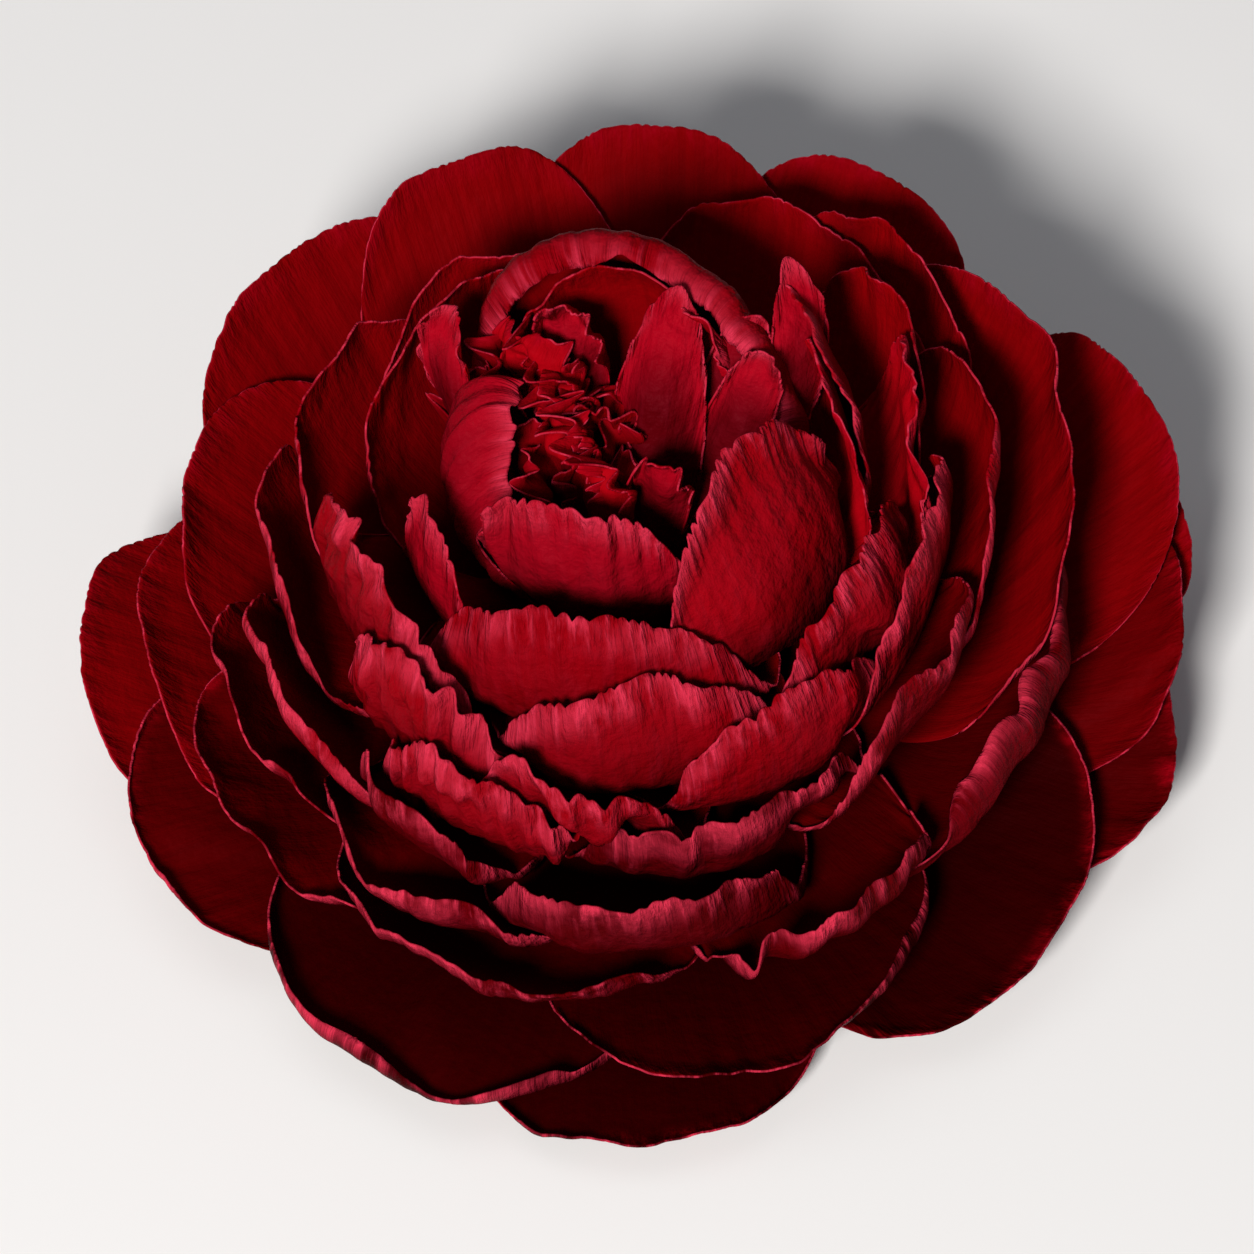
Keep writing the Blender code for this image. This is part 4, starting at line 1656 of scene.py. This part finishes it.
@dataclass
class Studio:
    """The pale floor, the soft lights and the camera."""

    aim: Place = (-0.9 * MM, 0.9 * MM, 23.0 * MM)
    bearing: float = 270.0
    elevation: float = 56.0
    distance: float = 0.75
    lens: float = 161.5
    floor_size: float = 6.0
    floor_gap: float = 0.05 * MM
    sky: Colour = (0.86, 0.90, 1.0)
    sky_strength: float = 0.13
    lamps: tuple[Lamp, ...] = (
        Lamp("key_light", 250, 40, 2.2, 0.50, 62, (1.0, 0.98, 0.96)),
        Lamp("top_light", 120, 70, 2.0, 1.5, 3.5, (1.0, 1.0, 1.0)),
    )

    def build(self) -> None:
        """Sets up the floor, the sky, the lights and the camera."""
        self.add_floor()
        self.add_sky()
        for lamp in self.lamps:
            self.add_light(lamp)
        self.add_camera()

    def add_floor(self) -> None:
        """Lays the floor just under the lowest point of the bloom."""
        begin()
        height = CAD_BOX[0][2] - self.floor_gap
        bpy.ops.mesh.primitive_plane_add(size=self.floor_size, location=(0, 0, height))
        floor = bpy.context.object
        floor.name = "floor"
        bpy.ops.object.transform_apply(location=True, rotation=False, scale=False)
        floor.data.materials.append(FloorFinish().make())

    def add_sky(self) -> None:
        """Lights the scene evenly and weakly from all round."""
        world = bpy.context.scene.world or bpy.data.worlds.new("studio")
        bpy.context.scene.world = world
        world.use_nodes = True
        sky = world.node_tree.nodes["Background"]
        sky.inputs["Color"].default_value = (*self.sky, 1.0)
        sky.inputs["Strength"].default_value = self.sky_strength

    def around(self, bearing: float, elevation: float, distance: float) -> Place:
        """Finds a place around the point that the camera looks at.

        Args:
            bearing: Degrees around it.
            elevation: Degrees above it.
            distance: Metres away.

        Returns:
            The place.
        """
        x, y, z = self.aim
        turn, rise = math.radians(bearing), math.radians(elevation)
        flat = distance * math.cos(rise)
        return x + flat * math.cos(turn), y + flat * math.sin(turn), z + distance * math.sin(rise)

    def face_bloom(self, thing: Piece) -> None:
        """Turns a light or the camera towards the bloom."""
        thing.rotation_euler = (Vector(self.aim) - thing.location).to_track_quat("-Z", "Y").to_euler()

    def add_light(self, lamp: Lamp) -> None:
        """Adds a soft square light.

        Args:
            lamp: What it is like and where it stands.
        """
        place = self.around(lamp.bearing, lamp.elevation, lamp.distance)
        bpy.ops.object.light_add(type="AREA", location=place)
        light = bpy.context.object
        light.name = lamp.name
        light.data.size = lamp.size
        light.data.energy = lamp.power
        light.data.color = lamp.colour
        self.face_bloom(light)

    def add_camera(self) -> None:
        """Adds the camera in front of and above the bloom."""
        bpy.ops.object.camera_add(location=self.around(self.bearing, self.elevation, self.distance))
        camera = bpy.context.object
        camera.name = "camera"
        camera.data.lens = self.lens
        camera.data.sensor_width = 36.0
        camera.data.clip_start = 0.01
        self.face_bloom(camera)
        bpy.context.scene.camera = camera


# ---- the bloom's colours and the whole

# The margins' own rosy tint, also used for painted highlights on the crests of the folds.
ROSE_AND_HIGHLIGHT = (0.58, 0.027, 0.062)
# Each whorl's inner colour, its outer colour and how much of both is left in its deep colour, the claw's own
# deeper red with painted shade.
BODIES = (
    (Slot.GUARD, (0.225, 0.0004, 0.0016), (0.240, 0.0005, 0.0045), 0.06),
    (Slot.MIDDLE, (0.245, 0.0004, 0.0018), (0.260, 0.0005, 0.0045), 0.14),
    (Slot.BALL, (0.290, 0.0005, 0.0024), (0.268, 0.0004, 0.0040), 0.13),
    (Slot.HEART, (0.400, 0.0009, 0.0055), (0.36, 0.0012, 0.0095), 0.25),
)
RECEPTACLE_GREEN = GreenFinish("receptacle_green", (0.13, 0.22, 0.05), (0.24, 0.34, 0.10), (0.22, 0.05, 0.05))
SEPAL_GREEN = GreenFinish("sepal_green", (0.07, 0.15, 0.03), (0.16, 0.26, 0.06), (0.16, 0.03, 0.03), 0.55)


def petal_finishes() -> dict[Slot, list[Material]]:
    """Builds the inner, outer and rim finish of each whorl.

    Returns:
        The three materials, by slot.
    """
    finishes = {}
    for slot, inner, outer, depth in BODIES:
        name = slot.value
        deep_shade_inner, deep_shade_outer = (tuple(depth * value for value in body) for body in (inner, outer))
        finishes[slot] = [
            PetalFinish(name + "_inner", inner, deep_shade_inner, outer, 0.3, deep_shade_from=0.4, deep_shade_until=1.0).make(),
            PetalFinish(
                name + "_outer", outer, deep_shade_outer, ROSE_AND_HIGHLIGHT, 0.32, deep_shade_from=0.6, deep_shade_until=1.02, vein=0.2,
                blush_and_highlight=0.05, relief=0.6, pucker=2.6, gloss=0.025, fibre=0.10, wrinkle=6.0).make(),
            PetalFinish(name + "_rim", outer, deep_shade_outer, ROSE_AND_HIGHLIGHT, vein=0.1).make(),
        ]
    return finishes


def main() -> None:
    """Builds the bloom and the studio around it."""
    logging.basicConfig(level=logging.INFO, format="%(name)s: %(message)s")
    finishes = petal_finishes()
    corolla = Corolla()
    seat = corolla.build(finishes)
    Heart().build(finishes[Slot.HEART], seat)
    Receptacle(corolla.shells, seat).build(RECEPTACLE_GREEN.make())
    Calyx(seat).build(SEPAL_GREEN.make())
    Studio().build()
    bpy.context.scene.view_settings.view_transform = "Standard"


if __name__ == "__main__":
    main()
